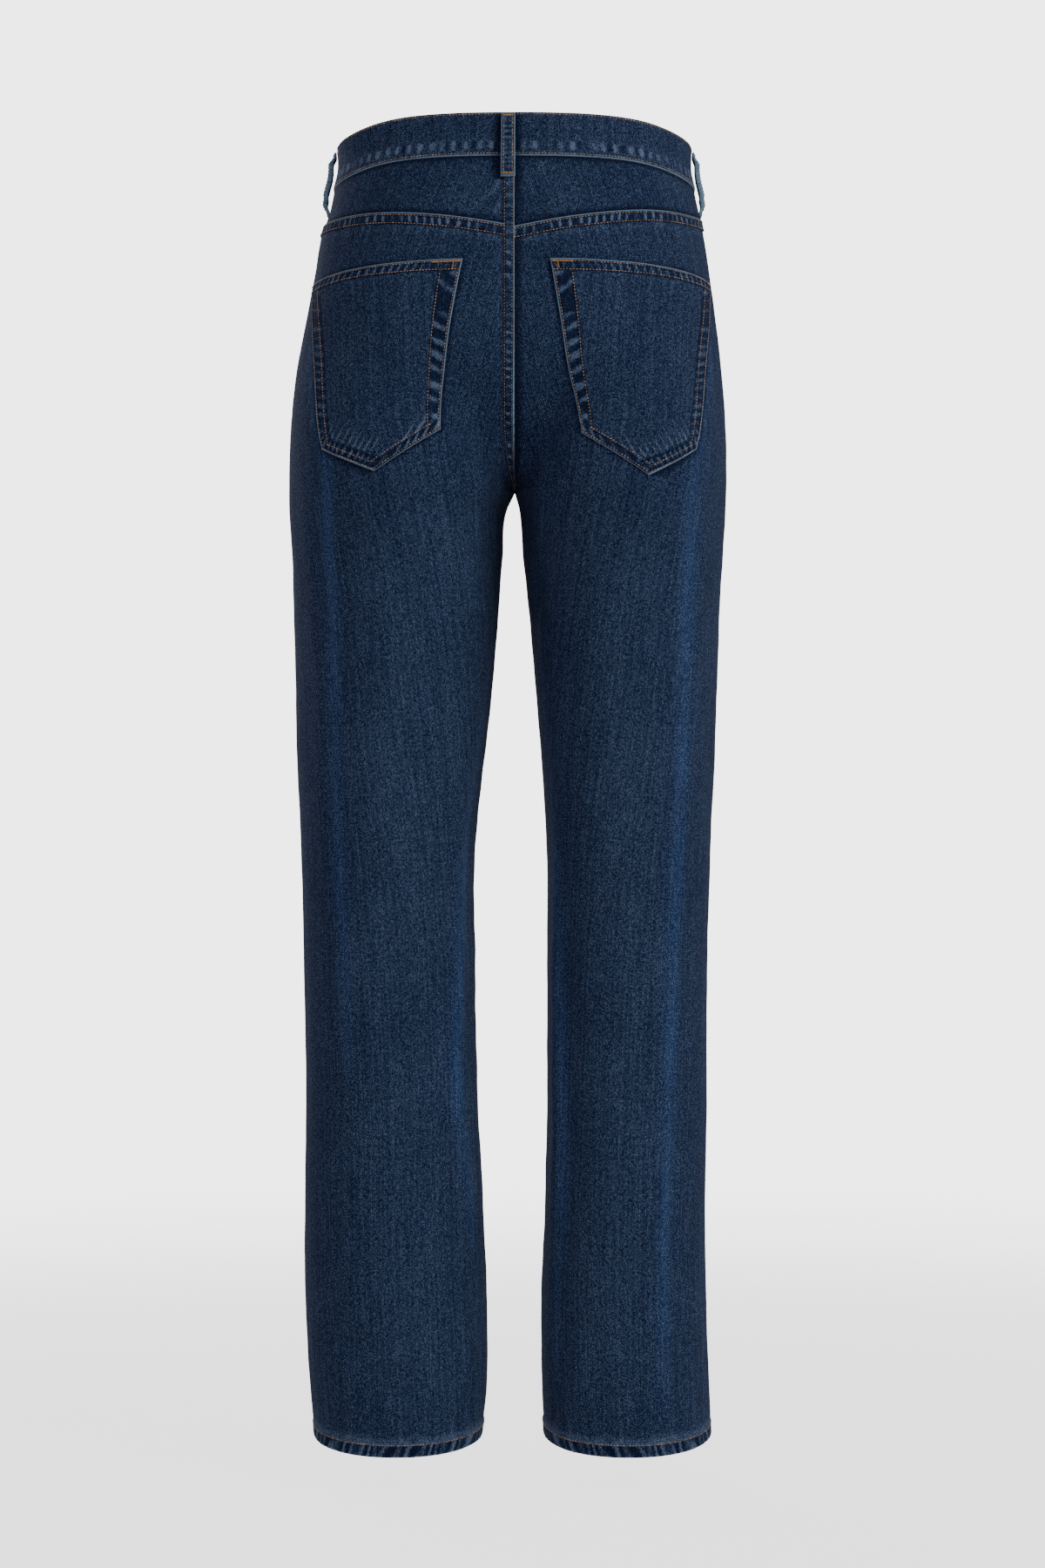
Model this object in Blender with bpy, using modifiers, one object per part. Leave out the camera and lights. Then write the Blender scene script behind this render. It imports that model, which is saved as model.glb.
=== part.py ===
"""Straight leg jeans, hollow and filled out as when worn, open at the waist and the hems.

Metres, +Z up. The origin is the centre of the waist, where the wearer holds the jeans up.
The front faces -Y, the back +Y, and the wearer's left is +X.

Every cloth piece is a wall made from one form: a place on the garment is its side (left or
right), its turn (0 at the centre front or inseam, 0.5 at the side, 1 at the centre back or
inseam again) and its level (its height before the waist and hems are tilted).
"""
import math
from collections import namedtuple

import bpy
import bmesh
import numpy as np
from mathutils import Vector

# Cloth
CLOTH = 0.0016              # wall of a single layer
BAND_CLOTH = 0.0024         # wall of the waistband, which is double
BAND_PROUD = 0.0008         # how far the waistband stands out over the panels
LAP_PROUD = 0.0008          # how far felled seams and turned hems stand out
SEAM = 0.0003               # clearance between neighbouring pieces
POCKET_LIFT = 0.0009        # clearance of a back pocket over the curved back leg
FACING_SINK = 0.0018        # clearance of a pocket facing under the curved front leg

# Heights, as levels
BAND_TOP = 0.0150
WAIST_SEAM = -0.0205
CROTCH = -0.2700
HEM = -1.0515
HEM_TURN = 0.0115           # height of the turned hem
FELL_WIDTH = 0.0085         # width of a felled seam
STEP_WIDTH = 0.0008         # run of the step at the edge of a raised layer

# Tilts: the back of the waist is higher than the front, the back of a hem is lower
WAIST_TILT = 0.0130
WAIST_TILT_FROM, WAIST_TILT_TO = -0.150, -0.030
WAIST_DIP = 0.0035          # how far the waist dips behind each side seam
WAIST_DIP_TURN, WAIST_DIP_REACH = 0.62, 0.09
HEM_TILT = 0.0100
HEM_TILT_FROM, HEM_TILT_TO = -0.850, -1.030

# How the legs run into the seat above the crotch
FORK_HEIGHT_FRONT = 0.105
FORK_HEIGHT_BACK = 0.135
FORK_REACH = 0.24           # share of the turn, from the centre, that follows the crotch curve

# Front opening
LAP_OVER = 0.018            # waistband past the centre front, outside
LAP_UNDER = 0.030           # waistband past the centre front, inside
LAP_RAMP = 0.045            # run over which the inside end tucks in
RAMP_LEAD = 1.25            # its start before the outside end, in ramps

# Front pockets
SCOOP_WIDTH = 0.098
SCOOP_DEPTH = 0.078
FACING_MARGIN = 0.018       # how far the facing runs on under the front leg
SEAM_ALLOWANCE = 0.008      # how far it runs on behind the waistband and the back
SIDE_TURN = 0.49            # where the side seam lies

Widths = namedtuple("Widths", "level outer inner")
Depths = namedtuple("Depths", "level front back square")
Fold = namedtuple("Fold", "side turn_a level_a turn_b level_b height width")
Pocket = namedtuple("Pocket", "side corner away level")
Loop = namedtuple("Loop", "name side turn shift top bottom bow")

# Distance of each side's outer edge and of each leg's inner edge from the centre plane
WIDTHS = {
    "left": (
        Widths(0.030, 0.1482, 0.0), Widths(-0.008, 0.1465, 0.0), Widths(-0.022, 0.1500, 0.0),
        Widths(-0.041, 0.1540, 0.0), Widths(-0.062, 0.1612, 0.0), Widths(-0.091, 0.1657, 0.0),
        Widths(-0.120, 0.1714, 0.0), Widths(-0.163, 0.1800, 0.0), Widths(-0.222, 0.1864, 0.0),
        Widths(-0.270, 0.1874, 0.0), Widths(-0.282, 0.1872, 0.0058), Widths(-0.323, 0.1850, 0.0102),
        Widths(-0.381, 0.1832, 0.0145), Widths(-0.440, 0.1820, 0.0196), Widths(-0.498, 0.1806, 0.0261),
        Widths(-0.556, 0.1776, 0.0322), Widths(-0.672, 0.1750, 0.0327), Widths(-0.774, 0.1736, 0.0305),
        Widths(-0.861, 0.1744, 0.0261), Widths(-0.948, 0.1738, 0.0226), Widths(-1.020, 0.1694, 0.0238),
        Widths(-1.060, 0.1662, 0.0290),
    ),
    "right": (
        Widths(0.030, 0.1470, 0.0), Widths(-0.008, 0.1462, 0.0), Widths(-0.022, 0.1494, 0.0),
        Widths(-0.041, 0.1535, 0.0), Widths(-0.062, 0.1576, 0.0), Widths(-0.091, 0.1620, 0.0),
        Widths(-0.120, 0.1660, 0.0), Widths(-0.163, 0.1710, 0.0), Widths(-0.222, 0.1754, 0.0),
        Widths(-0.270, 0.1758, 0.0), Widths(-0.282, 0.1753, 0.0034), Widths(-0.323, 0.1730, 0.0073),
        Widths(-0.381, 0.1700, 0.0131), Widths(-0.440, 0.1683, 0.0176), Widths(-0.498, 0.1658, 0.0225),
        Widths(-0.556, 0.1629, 0.0261), Widths(-0.672, 0.1602, 0.0269), Widths(-0.774, 0.1595, 0.0269),
        Widths(-0.861, 0.1582, 0.0254), Widths(-0.948, 0.1598, 0.0225), Widths(-1.020, 0.1620, 0.0232),
        Widths(-1.060, 0.1634, 0.0250),
    ),
}

# Reach to the front and to the back, and how square the section is (2 is an ellipse)
DEPTHS = (
    Depths(0.030, 0.1030, 0.1080, 2.55), Depths(-0.016, 0.1060, 0.1110, 2.55),
    Depths(-0.060, 0.1100, 0.1190, 2.60), Depths(-0.120, 0.1140, 0.1270, 2.80),
    Depths(-0.180, 0.1150, 0.1310, 2.80), Depths(-0.230, 0.1140, 0.1290, 2.60),
    Depths(-0.270, 0.1120, 0.1220, 2.30), Depths(-0.330, 0.1060, 0.1100, 2.25),
    Depths(-0.400, 0.0980, 0.0990, 2.20), Depths(-0.500, 0.0880, 0.0870, 2.20),
    Depths(-0.600, 0.0800, 0.0780, 2.20), Depths(-0.700, 0.0740, 0.0720, 2.20),
    Depths(-0.800, 0.0700, 0.0690, 2.20), Depths(-0.950, 0.0660, 0.0670, 2.20),
    Depths(-1.060, 0.0640, 0.0660, 2.15),
)

# The largest folds: soft ridges (height above 0) and troughs (below 0) along straight lines
FOLDS = (
    Fold("left", 0.625, -0.230, 0.645, -0.640, 0.0018, 0.007),
    Fold("left", 0.885, -0.420, 0.900, -0.860, 0.0026, 0.011),
    Fold("left", 0.835, -0.500, 0.855, -0.930, -0.0022, 0.016),
    Fold("left", 0.760, -0.270, 0.960, -0.350, -0.0030, 0.016),
    Fold("left", 0.700, -0.620, 0.860, -0.700, -0.0022, 0.018),
    Fold("left", 0.560, -0.930, 0.740, -0.985, -0.0024, 0.018),
    Fold("left", 0.120, -0.265, 0.350, -0.215, 0.0026, 0.012),
    Fold("left", 0.110, -0.300, 0.340, -0.275, -0.0028, 0.013),
    Fold("left", 0.150, -0.560, 0.390, -0.590, 0.0024, 0.014),
    Fold("left", 0.360, -0.260, 0.340, -0.700, 0.0018, 0.010),
    Fold("right", 0.635, -0.250, 0.690, -1.020, 0.0020, 0.007),
    Fold("right", 0.905, -0.520, 0.915, -0.960, 0.0034, 0.010),
    Fold("right", 0.868, -0.560, 0.874, -0.930, -0.0026, 0.012),
    Fold("right", 0.745, -0.440, 0.790, -0.540, -0.0028, 0.014),
    Fold("right", 0.800, -0.290, 0.960, -0.400, -0.0032, 0.018),
    Fold("right", 0.830, -0.960, 0.900, -1.050, 0.0026, 0.016),
    Fold("right", 0.130, -0.260, 0.360, -0.220, 0.0024, 0.012),
    Fold("right", 0.120, -0.305, 0.330, -0.285, -0.0030, 0.013),
    Fold("right", 0.170, -0.600, 0.400, -0.575, 0.0022, 0.015),
    Fold("right", 0.350, -0.300, 0.330, -0.840, 0.0018, 0.010),
)
FOLD_TURN = 0.52            # cloth length of one turn, for measuring a fold's width
FOLD_TAPER = 0.8            # below 1, a fold keeps its height closer to its ends

# Yoke seam: its level at the centre back, halfway and at the side seam
YOKE_SEAM = {"left": (-0.0735, -0.0605, -0.0490), "right": (-0.0740, -0.0585, -0.0430)}

# Corners of the back pockets, measured along the cloth from the side seam, and how far the
# middles of the inner and the outer edge bow to the centre
POCKETS = (
    Pocket("left", "mouth_inner", 0.2069, -0.0973), Pocket("left", "mouth_outer", 0.0520, -0.1045),
    Pocket("left", "base_outer", 0.1193, -0.2429), Pocket("left", "tip", 0.1638, -0.2617),
    Pocket("left", "base_inner", 0.2198, -0.2283),
    Pocket("right", "mouth_inner", 0.2161, -0.0971), Pocket("right", "mouth_outer", 0.0535, -0.1030),
    Pocket("right", "base_outer", 0.1173, -0.2428), Pocket("right", "tip", 0.1571, -0.2648),
    Pocket("right", "base_inner", 0.2153, -0.2310),
)
POCKET_BOW = {"left": (-0.0010, 0.0085), "right": (0.0020, 0.0060)}
POCKET_HEM = 0.0110         # turned mouth of a back pocket
MOUTH_CROWN = 0.0010        # how far a pocket mouth rises at its middle

# Belt loops: the turn that carries each, a shift along the waist, its ends and its bow
LOOP_WIDTH = 0.0112
LOOP_CLOTH = 0.0024
LOOP_ROWS = (0.0, 0.05, 0.10, 0.15, 0.21, 0.35, 0.50, 0.65, 0.79, 0.85, 0.91, 0.96, 1.0)
LOOP_RISE = (0.04, 0.15)    # share of a loop's length where its bow starts, and takes to rise
LOOP_FALL = (0.97, 0.16)    # share where it ends, and takes to fall
LOOP_SINK = 0.3             # share of a loop's seat that its bow takes up
BAND_EDGE_RUN = 0.004       # run of a loop over the lower edge of the waistband
LOOPS = (
    Loop("belt_loop_back", "left", 1.0, 0.0050, 0.0140, -0.0380, 0.0048),
    Loop("belt_loop_left", "left", 0.5, 0.0, 0.0140, -0.0400, 0.0056),
    Loop("belt_loop_right", "right", 0.5, 0.0, 0.0140, -0.0400, 0.0048),
    Loop("belt_loop_front_left", "left", 0.0, 0.0560, 0.0140, -0.0400, 0.0066),
    Loop("belt_loop_front_right", "right", 0.0, 0.0560, 0.0140, -0.0400, 0.0066),
)

# Waist button
BUTTON_RADIUS = 0.0085
BUTTON_HEIGHT = 0.0042
BUTTON_SHANK = 0.0048
BUTTON_PROFILE = (          # shares of its radius and of its height, down to the shank
    (0.0, 0.86), (0.62, 0.80), (0.72, 0.98), (0.90, 1.0), (1.0, 0.86), (1.0, 0.52),
)
BUTTON_NECK = 0.42          # share of its height where the shank starts

# Mesh: rows and columns of the walls, and distances that are measured over
COLUMNS_FRONT = 12
COLUMNS_BACK = 12
BAND_COLUMNS = 60
BAND_ROW = 0.012            # distance of the waistband's inner rows from its edges
SEAT_TOP_BACK, SEAT_ROWS_BACK = -0.110, 8
SEAT_TOP_FRONT, SEAT_ROWS_FRONT = -0.112, 7
SEAT_END = 0.035            # the seat's last row, above the crotch
FORK_ROWS = (0.0220, 0.0120, 0.0050, 0.0, -0.0060, -0.0140, -0.0280, -0.0480)
SHIN_TOP, SHIN_END, SHIN_ROWS = -0.080, 0.030, 16
SCOOP_CUTS = (1.0, 0.93, 0.82, 0.69, 0.56, 0.43, 0.31, 0.20, 0.10, 0.0)
YOKE_ROWS = (0.0, 0.5, 1.0)
FACING_ROWS, FACING_COLUMNS = 8, 9
POCKET_COLUMNS = 6          # on each side of the tip
POCKET_STEP = 0.0013        # run of the step below a pocket's turned mouth
POCKET_BODY, POCKET_ROWS = 0.20, 8
BUTTON_STEPS = 24
SAMPLES = 161
GAUGE = 0.1                 # length of cloth over which turns per metre are taken
NORMAL_STEP = 0.002

COLOURS = {
    "denim": ((0.016, 0.040, 0.095), 0.85, 0.0),
    "denim_inside": ((0.190, 0.250, 0.310), 0.85, 0.0),
    "brass": ((0.420, 0.270, 0.120), 0.38, 1.0),
}


# ---------------------------------------------------------------- the form

def smooth(value):
    """0 below 0, 1 above 1, and a soft step between."""
    value = np.clip(value, 0.0, 1.0)
    return value * value * (3.0 - 2.0 * value)


def read(table, column, level):
    """A column of a table at any level, on a smooth curve through its rows."""
    rows = sorted(table, key=lambda row: row.level)
    levels = np.array([row.level for row in rows])
    values = np.array([getattr(row, column) for row in rows])
    slopes = np.gradient(values, levels)
    level = np.clip(level, levels[0], levels[-1])
    index = np.clip(np.searchsorted(levels, level) - 1, 0, len(rows) - 2)
    run = levels[index + 1] - levels[index]
    t = (level - levels[index]) / run
    start = (1 + 2 * t) * (1 - t) ** 2 * values[index] + t * (1 - t) ** 2 * run * slopes[index]
    end = t * t * (3 - 2 * t) * values[index + 1] - t * t * (1 - t) * run * slopes[index + 1]
    return start + end


def fold_height(side, turn, level):
    """How far the folds lift the cloth."""
    lift = np.zeros(np.broadcast(turn, level).shape)
    for fold in FOLDS:
        if fold.side != side:
            continue
        ax, az = fold.turn_a * FOLD_TURN, fold.level_a
        bx, bz = fold.turn_b * FOLD_TURN, fold.level_b
        length = math.hypot(bx - ax, bz - az)
        along = ((turn * FOLD_TURN - ax) * (bx - ax) + (level - az) * (bz - az)) / length ** 2
        across = ((turn * FOLD_TURN - ax) * (bz - az) - (level - az) * (bx - ax)) / length
        fade = np.sin(np.pi * np.clip(along, 0.0, 1.0)) ** FOLD_TAPER
        lift = lift + fold.height * fade * np.exp(-(across / fold.width) ** 2)
    return lift


def section(angle, half_width, front, back, square, lift):
    """Point of a squarish oval at an angle: 0 is outwards, 90 degrees is backwards."""
    cos, sin = np.cos(angle), np.sin(angle)
    depth = np.where(sin < 0.0, front, back)
    radius = (np.abs(cos / half_width) ** square + np.abs(sin / depth) ** square) ** (-1.0 / square)
    return (radius + lift) * cos, (radius + lift) * sin


def form(side, turn, level):
    """Outer face of the cloth: points, as an array whose last axis is x, y, z."""
    turn, level = np.broadcast_arrays(np.asarray(turn, float), np.asarray(level, float))
    outer = read(WIDTHS[side], "outer", level)
    inner = read(WIDTHS[side], "inner", np.minimum(level, CROTCH))
    front, back = read(DEPTHS, "front", level), read(DEPTHS, "back", level)
    square = read(DEPTHS, "square", level)
    lift = fold_height(side, turn, level)

    # The leg is a closed oval, the seat half of a wider one
    half = (outer - inner) / 2.0
    leg_x, leg_y = section(math.pi + 2.0 * math.pi * turn, half, front, back, square, lift)
    leg_x = leg_x + (outer + inner) / 2.0
    seat_x, seat_y = section(-math.pi / 2.0 + math.pi * turn, outer, front, back, square, lift)

    # Above the crotch the leg opens into the seat, along a quarter ellipse at the centre
    fork = FORK_HEIGHT_FRONT + (FORK_HEIGHT_BACK - FORK_HEIGHT_FRONT) * turn
    rise = np.clip((level - CROTCH) / fork, 0.0, 1.0)
    centre = smooth(1.0 - np.minimum(turn, 1.0 - turn) / FORK_REACH)
    seat = centre * np.sqrt(1.0 - (1.0 - rise) ** 2) + (1.0 - centre) * smooth(rise)
    x = leg_x + (seat_x - leg_x) * seat
    y = leg_y + (seat_y - leg_y) * seat

    facing_back = np.where(y < 0.0, y / front, y / back)
    waist = smooth((level - WAIST_TILT_FROM) / (WAIST_TILT_TO - WAIST_TILT_FROM))
    hem = smooth((level - HEM_TILT_FROM) / (HEM_TILT_TO - HEM_TILT_FROM))
    dip = WAIST_DIP * np.exp(-((turn - WAIST_DIP_TURN) / WAIST_DIP_REACH) ** 2)
    z = level + facing_back * (WAIST_TILT * waist - HEM_TILT * hem) - dip * waist
    sign = 1.0 if side == "left" else -1.0
    return np.stack((sign * x, y, z), axis=-1)


def outward(side, turn, level):
    """Unit normals of the form. At the centre seams they stay in the centre plane."""
    turn, level = np.broadcast_arrays(np.asarray(turn, float), np.asarray(level, float))
    is_leg = level <= CROTCH
    low, high = turn - NORMAL_STEP, turn + NORMAL_STEP
    low = np.where(is_leg, low, np.maximum(low, 0.0))
    high = np.where(is_leg, high, np.minimum(high, 1.0))
    along = form(side, high, level) - form(side, low, level)
    down = form(side, turn, level - NORMAL_STEP) - form(side, turn, level + NORMAL_STEP)
    normal = np.cross(along, down) * (-1.0 if side == "left" else 1.0)
    at_centre = ((turn < 1e-6) | (turn > 1.0 - 1e-6)) & ~is_leg
    normal[..., 0] = np.where(at_centre, 0.0, normal[..., 0])
    return normal / np.linalg.norm(normal, axis=-1, keepdims=True)


def moved(side, turn, level, distance):
    """Points of the form moved out by a distance, each side kept on its own half."""
    distance = np.broadcast_to(np.asarray(distance, float), np.broadcast(turn, level).shape)
    points = form(side, turn, level) + outward(side, turn, level) * distance[..., None]
    sign = 1.0 if side == "left" else -1.0
    points[..., 0] = sign * np.maximum(sign * points[..., 0], SEAM / 2.0)
    return points


def cloth_length(side, level, first=0.0):
    """Turns from a first one to the centre back, and their distances along the cloth."""
    samples = np.linspace(first, 1.0, SAMPLES)
    points = form(side, samples, level)
    steps = np.linalg.norm(np.diff(points, axis=0), axis=1)
    return samples, np.concatenate(((0.0,), np.cumsum(steps)))


def turns_at(side, level, distances, from_back=True):
    """Turns that lie at distances along the cloth from the back (or front) centre seam."""
    samples, length = cloth_length(side, level)
    if from_back:
        return np.interp(length[-1] - np.asarray(distances), length, samples)
    return np.interp(distances, length, samples)


def turns_per_metre(side, level):
    """How much turn a metre of cloth is at the centre front."""
    return turns_at(side, level, np.array((0.0, GAUGE)), from_back=False)[1] / GAUGE


# ---------------------------------------------------------------- walls

def wall(name, outer, inner, material):
    """Closed wall between two grids of points that have the same rows and columns."""
    rows, columns = outer.shape[:2]
    mesh = bmesh.new()
    faces = [[[mesh.verts.new(point) for point in row] for row in grid] for grid in (outer, inner)]
    for grid in faces:
        for r in range(rows - 1):
            for c in range(columns - 1):
                mesh.faces.new((grid[r][c], grid[r][c + 1], grid[r + 1][c + 1], grid[r + 1][c]))
    rim = [(0, c) for c in range(columns)]
    rim += [(r, columns - 1) for r in range(1, rows)]
    rim += [(rows - 1, c) for c in range(columns - 2, -1, -1)]
    rim += [(r, 0) for r in range(rows - 2, 0, -1)]
    for (r, c), (r2, c2) in zip(rim, rim[1:] + rim[:1]):
        mesh.faces.new((faces[0][r][c], faces[0][r2][c2], faces[1][r2][c2], faces[1][r][c]))
    bmesh.ops.recalc_face_normals(mesh, faces=mesh.faces)
    return add(name, mesh, material)


def add(name, mesh, material):
    """Object of a finished bmesh, in the jeans' collection."""
    data = bpy.data.meshes.new(name)
    mesh.to_mesh(data)
    mesh.free()
    piece = bpy.data.objects.new(name, data)
    data.materials.append(own_material(name, material))
    bpy.data.collections["straight_leg_jeans"].objects.link(piece)
    data.shade_smooth()
    return piece


def own_material(name, kind):
    """A piece's own Principled material."""
    colour, roughness, metallic = COLOURS[kind]
    material = bpy.data.materials.new(name)
    material.use_nodes = True
    shader = material.node_tree.nodes["Principled BSDF"]
    shader.inputs["Base Color"].default_value = (*colour, 1.0)
    shader.inputs["Roughness"].default_value = roughness
    shader.inputs["Metallic"].default_value = metallic
    return material


def panel(name, side, turn, level, proud, cloth=CLOTH, below=0.0, material="denim"):
    """Wall over grids of turns and levels; proud lifts its outer face, below sinks it all."""
    outer = moved(side, turn, level, proud - below)
    inner = moved(side, turn, level, -below - cloth)
    return wall(name, outer, inner, material)


def leg_levels():
    """Levels of a leg's rows from just above the crotch to the hem, close where it bends."""
    fork = CROTCH + np.array(FORK_ROWS)
    shin = np.linspace(CROTCH + SHIN_TOP, HEM + HEM_TURN + SHIN_END, SHIN_ROWS)
    hem = np.array((HEM + HEM_TURN + STEP_WIDTH, HEM + HEM_TURN, HEM))
    return np.concatenate((fork, shin, hem))


def hem_lift(level):
    """Lift of the turned hem."""
    return LAP_PROUD * np.clip((HEM + HEM_TURN + STEP_WIDTH - level) / STEP_WIDTH, 0.0, 1.0)


def yoke_level(side, turn):
    """Level of the yoke seam, a shallow curve from the side seam to the centre back."""
    centre, middle, edge = YOKE_SEAM[side]
    share = (turn - SIDE_TURN) / (1.0 - SIDE_TURN)
    bow = 4.0 * share * (1.0 - share) * (middle - (centre + edge) / 2.0)
    return edge + (centre - edge) * share + bow


# ---------------------------------------------------------------- pieces

def back_columns(side, level):
    """Turns of the back's columns: the felled centre seam, then even steps to the side seam."""
    edge = turns_at(side, level, np.array((SEAM / 2.0, FELL_WIDTH, FELL_WIDTH + STEP_WIDTH)))
    last = SIDE_TURN + edge[0] - turns_at(side, level, SEAM)
    return np.concatenate((edge, np.linspace(edge[-1], last, COLUMNS_BACK)[1:]))


def back_leg(side):
    """Back leg, from the yoke seam to the hem, with its felled laps and turned hem."""
    seat_levels = np.linspace(SEAT_TOP_BACK, CROTCH + SEAT_END, SEAT_ROWS_BACK)
    steps = (SEAM / 2.0, FELL_WIDTH, FELL_WIDTH + STEP_WIDTH)
    grid_turn, grid_level, lift = [], [], []
    for step in steps:
        grid_turn.append(back_columns(side, YOKE_SEAM[side][0]))
        grid_level.append(yoke_level(side, grid_turn[-1]) - step)
    for level in np.concatenate((seat_levels, leg_levels())):
        grid_turn.append(back_columns(side, level))
        grid_level.append(np.full(grid_turn[-1].shape, level))
    grid_turn, grid_level = np.array(grid_turn), np.array(grid_level)
    lift = hem_lift(grid_level)
    lift[:2] = LAP_PROUD
    if side == "left":
        seat_seam = grid_level[:, 1] > CROTCH
        lift[seat_seam, :2] = LAP_PROUD
    return panel(f"back_{side}", side, grid_turn, grid_level, lift)


def yoke(side):
    """Back yoke, between the waistband and the back leg."""
    turns = back_columns(side, YOKE_SEAM[side][0])
    top = WAIST_SEAM - SEAM / 2.0
    levels = [top + (yoke_level(side, turns) + SEAM / 2.0 - top) * share for share in YOKE_ROWS]
    grid_turn, grid_level = np.array([turns] * len(levels)), np.array(levels)
    return panel(f"yoke_{side}", side, grid_turn, grid_level, np.zeros(grid_turn.shape))


def scoop_turn(side, level, inset):
    """Turn of the front leg's outer edge: the scoop of the pocket, then the side seam."""
    down = (WAIST_SEAM - level) / SCOOP_DEPTH
    if down >= 1.0:
        return SIDE_TURN - inset
    cut = SCOOP_WIDTH * turns_per_metre(side, level) * math.sqrt(1.0 - max(down, 0.0) ** 2)
    return SIDE_TURN - inset - cut


def front_leg(side):
    """Front leg, from the waist seam to the hem, with the scoop of the pocket cut out."""
    cuts = np.array(SCOOP_CUTS)
    scoop = WAIST_SEAM - SCOOP_DEPTH * np.sqrt(1.0 - cuts ** 2) - SEAM / 2.0 * (cuts == 1.0)
    seat_levels = np.linspace(SEAT_TOP_FRONT, CROTCH + SEAT_END, SEAT_ROWS_FRONT)
    nominal = np.concatenate((scoop, seat_levels, leg_levels()))
    grid_turn, grid_level, lift = [], [], []
    for level in nominal:
        inset = turns_at(side, level, np.array((0.0, SEAM / 2.0)), from_back=False)[1]
        turns = np.linspace(inset, scoop_turn(side, level, inset), COLUMNS_FRONT)
        grid_turn.append(turns)
        grid_level.append(np.full(turns.shape, level))
        lift.append(hem_lift(grid_level[-1]))
    return panel(f"front_{side}", side, np.array(grid_turn), np.array(grid_level), np.array(lift))


def pocket_facing(side):
    """Facing behind the front pocket's scoop; its edges run on behind its neighbours."""
    top, bottom = WAIST_SEAM + SEAM_ALLOWANCE, WAIST_SEAM - SCOOP_DEPTH - FACING_MARGIN
    levels = np.linspace(top, bottom, FACING_ROWS)
    per_metre = turns_per_metre(side, WAIST_SEAM)
    first = SIDE_TURN - (SCOOP_WIDTH + FACING_MARGIN) * per_metre
    turns = np.linspace(first, SIDE_TURN + SEAM_ALLOWANCE * per_metre, FACING_COLUMNS)
    grid_turn, grid_level = np.meshgrid(turns, levels)
    below = CLOTH + FACING_SINK
    return panel(f"pocket_facing_{side}", side, grid_turn, grid_level, 0.0, below=below)


def turn_behind(side, level, away):
    """Turn that lies a distance behind the side seam, along the cloth."""
    samples, length = cloth_length(side, level, SIDE_TURN)
    return np.interp(away, length, samples)


def back_pocket(side):
    """Back patch pocket: five corners, laid on the back leg and moved out."""
    corner = {row.corner: row for row in POCKETS if row.side == side}
    inner, outer = corner["mouth_inner"], corner["mouth_outer"]
    base = [corner[key] for key in ("base_inner", "tip", "base_outer")]
    bow_inner, bow_outer = POCKET_BOW[side]
    span = [0.0, (base[0].away - base[1].away) / (base[0].away - base[2].away), 1.0]
    to_tip = np.linspace(0.0, span[1], POCKET_COLUMNS)
    shares = np.concatenate((to_tip, np.linspace(span[1], 1.0, POCKET_COLUMNS)[1:]))
    hem = POCKET_HEM / (inner.level - base[1].level)
    step = POCKET_STEP / (inner.level - base[1].level)
    downs = np.concatenate(((0.0, hem, hem + step), np.linspace(POCKET_BODY, 1.0, POCKET_ROWS)))
    mouth_away = inner.away + (outer.away - inner.away) * shares
    mouth_level = inner.level + (outer.level - inner.level) * shares
    mouth_level = mouth_level + MOUTH_CROWN * np.sin(np.pi * shares)
    base_away = np.interp(shares, span, [row.away for row in base])
    base_level = np.interp(shares, span, [row.level for row in base])
    grid_turn, grid_level, lift = [], [], []
    for down in downs:
        bow = 4.0 * down * (1.0 - down) * (bow_inner + (bow_outer - bow_inner) * shares)
        away = mouth_away + (base_away - mouth_away) * down + bow
        level = mouth_level + (base_level - mouth_level) * down
        grid_turn.append([turn_behind(side, z, distance) for z, distance in zip(level, away)])
        grid_level.append(level)
        lift.append(np.full(shares.shape, LAP_PROUD if down <= hem else 0.0))
    lift = np.array(lift) + CLOTH
    name = f"pocket_back_{side}"
    turn, level = np.array(grid_turn), np.array(grid_level)
    return panel(name, side, turn, level, lift, cloth=0.0, below=-POCKET_LIFT)


def waistband():
    """Waistband, one strip all round; its right end passes inside its left end at the front."""
    per_metre = {side: turns_per_metre(side, 0.0) for side in WIDTHS}
    start, end = -LAP_OVER * per_metre["right"] / 2.0, 1.0 + LAP_UNDER * per_metre["left"] / 2.0
    ring = np.linspace(start, end, BAND_COLUMNS)
    ramp = LAP_RAMP * per_metre["right"] / 2.0
    tuck = (BAND_CLOTH + SEAM) * smooth((ring - (1.0 + start - ramp * RAMP_LEAD)) / ramp)
    bottom = WAIST_SEAM + SEAM / 2.0
    levels = np.array((BAND_TOP, BAND_TOP - BAND_ROW, WAIST_SEAM + BAND_ROW, bottom))
    grids = []
    for distance in (BAND_PROUD, BAND_PROUD - BAND_CLOTH):
        rows = [[waist_point(turn, level, distance - sink) for turn, sink in zip(ring, tuck)]
                for level in levels]
        grids.append(np.array(rows))
    return wall("waistband", grids[0], grids[1], "denim")


def waist_point(ring, level, distance):
    """Point of the waist ring: 0 is the centre front, 0.5 the centre back, 1 the front again."""
    ring = ring % 1.0
    side, turn = ("left", 2.0 * ring) if ring <= 0.5 else ("right", 2.0 * (1.0 - ring))
    return form(side, turn, level) + outward(side, turn, level) * distance


def loop_profile(level, loop):
    """Height of a belt loop's inner face over the panels, along its length."""
    share = (loop.top - level) / (loop.top - loop.bottom)
    seat = (BAND_PROUD + SEAM) * smooth((level - WAIST_SEAM) / BAND_EDGE_RUN + 1.5) + SEAM
    bow = smooth((share - LOOP_RISE[0]) / LOOP_RISE[1]) * smooth((LOOP_FALL[0] - share) / LOOP_FALL[1])
    return seat + (loop.bow - LOOP_SINK * seat) * bow


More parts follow.
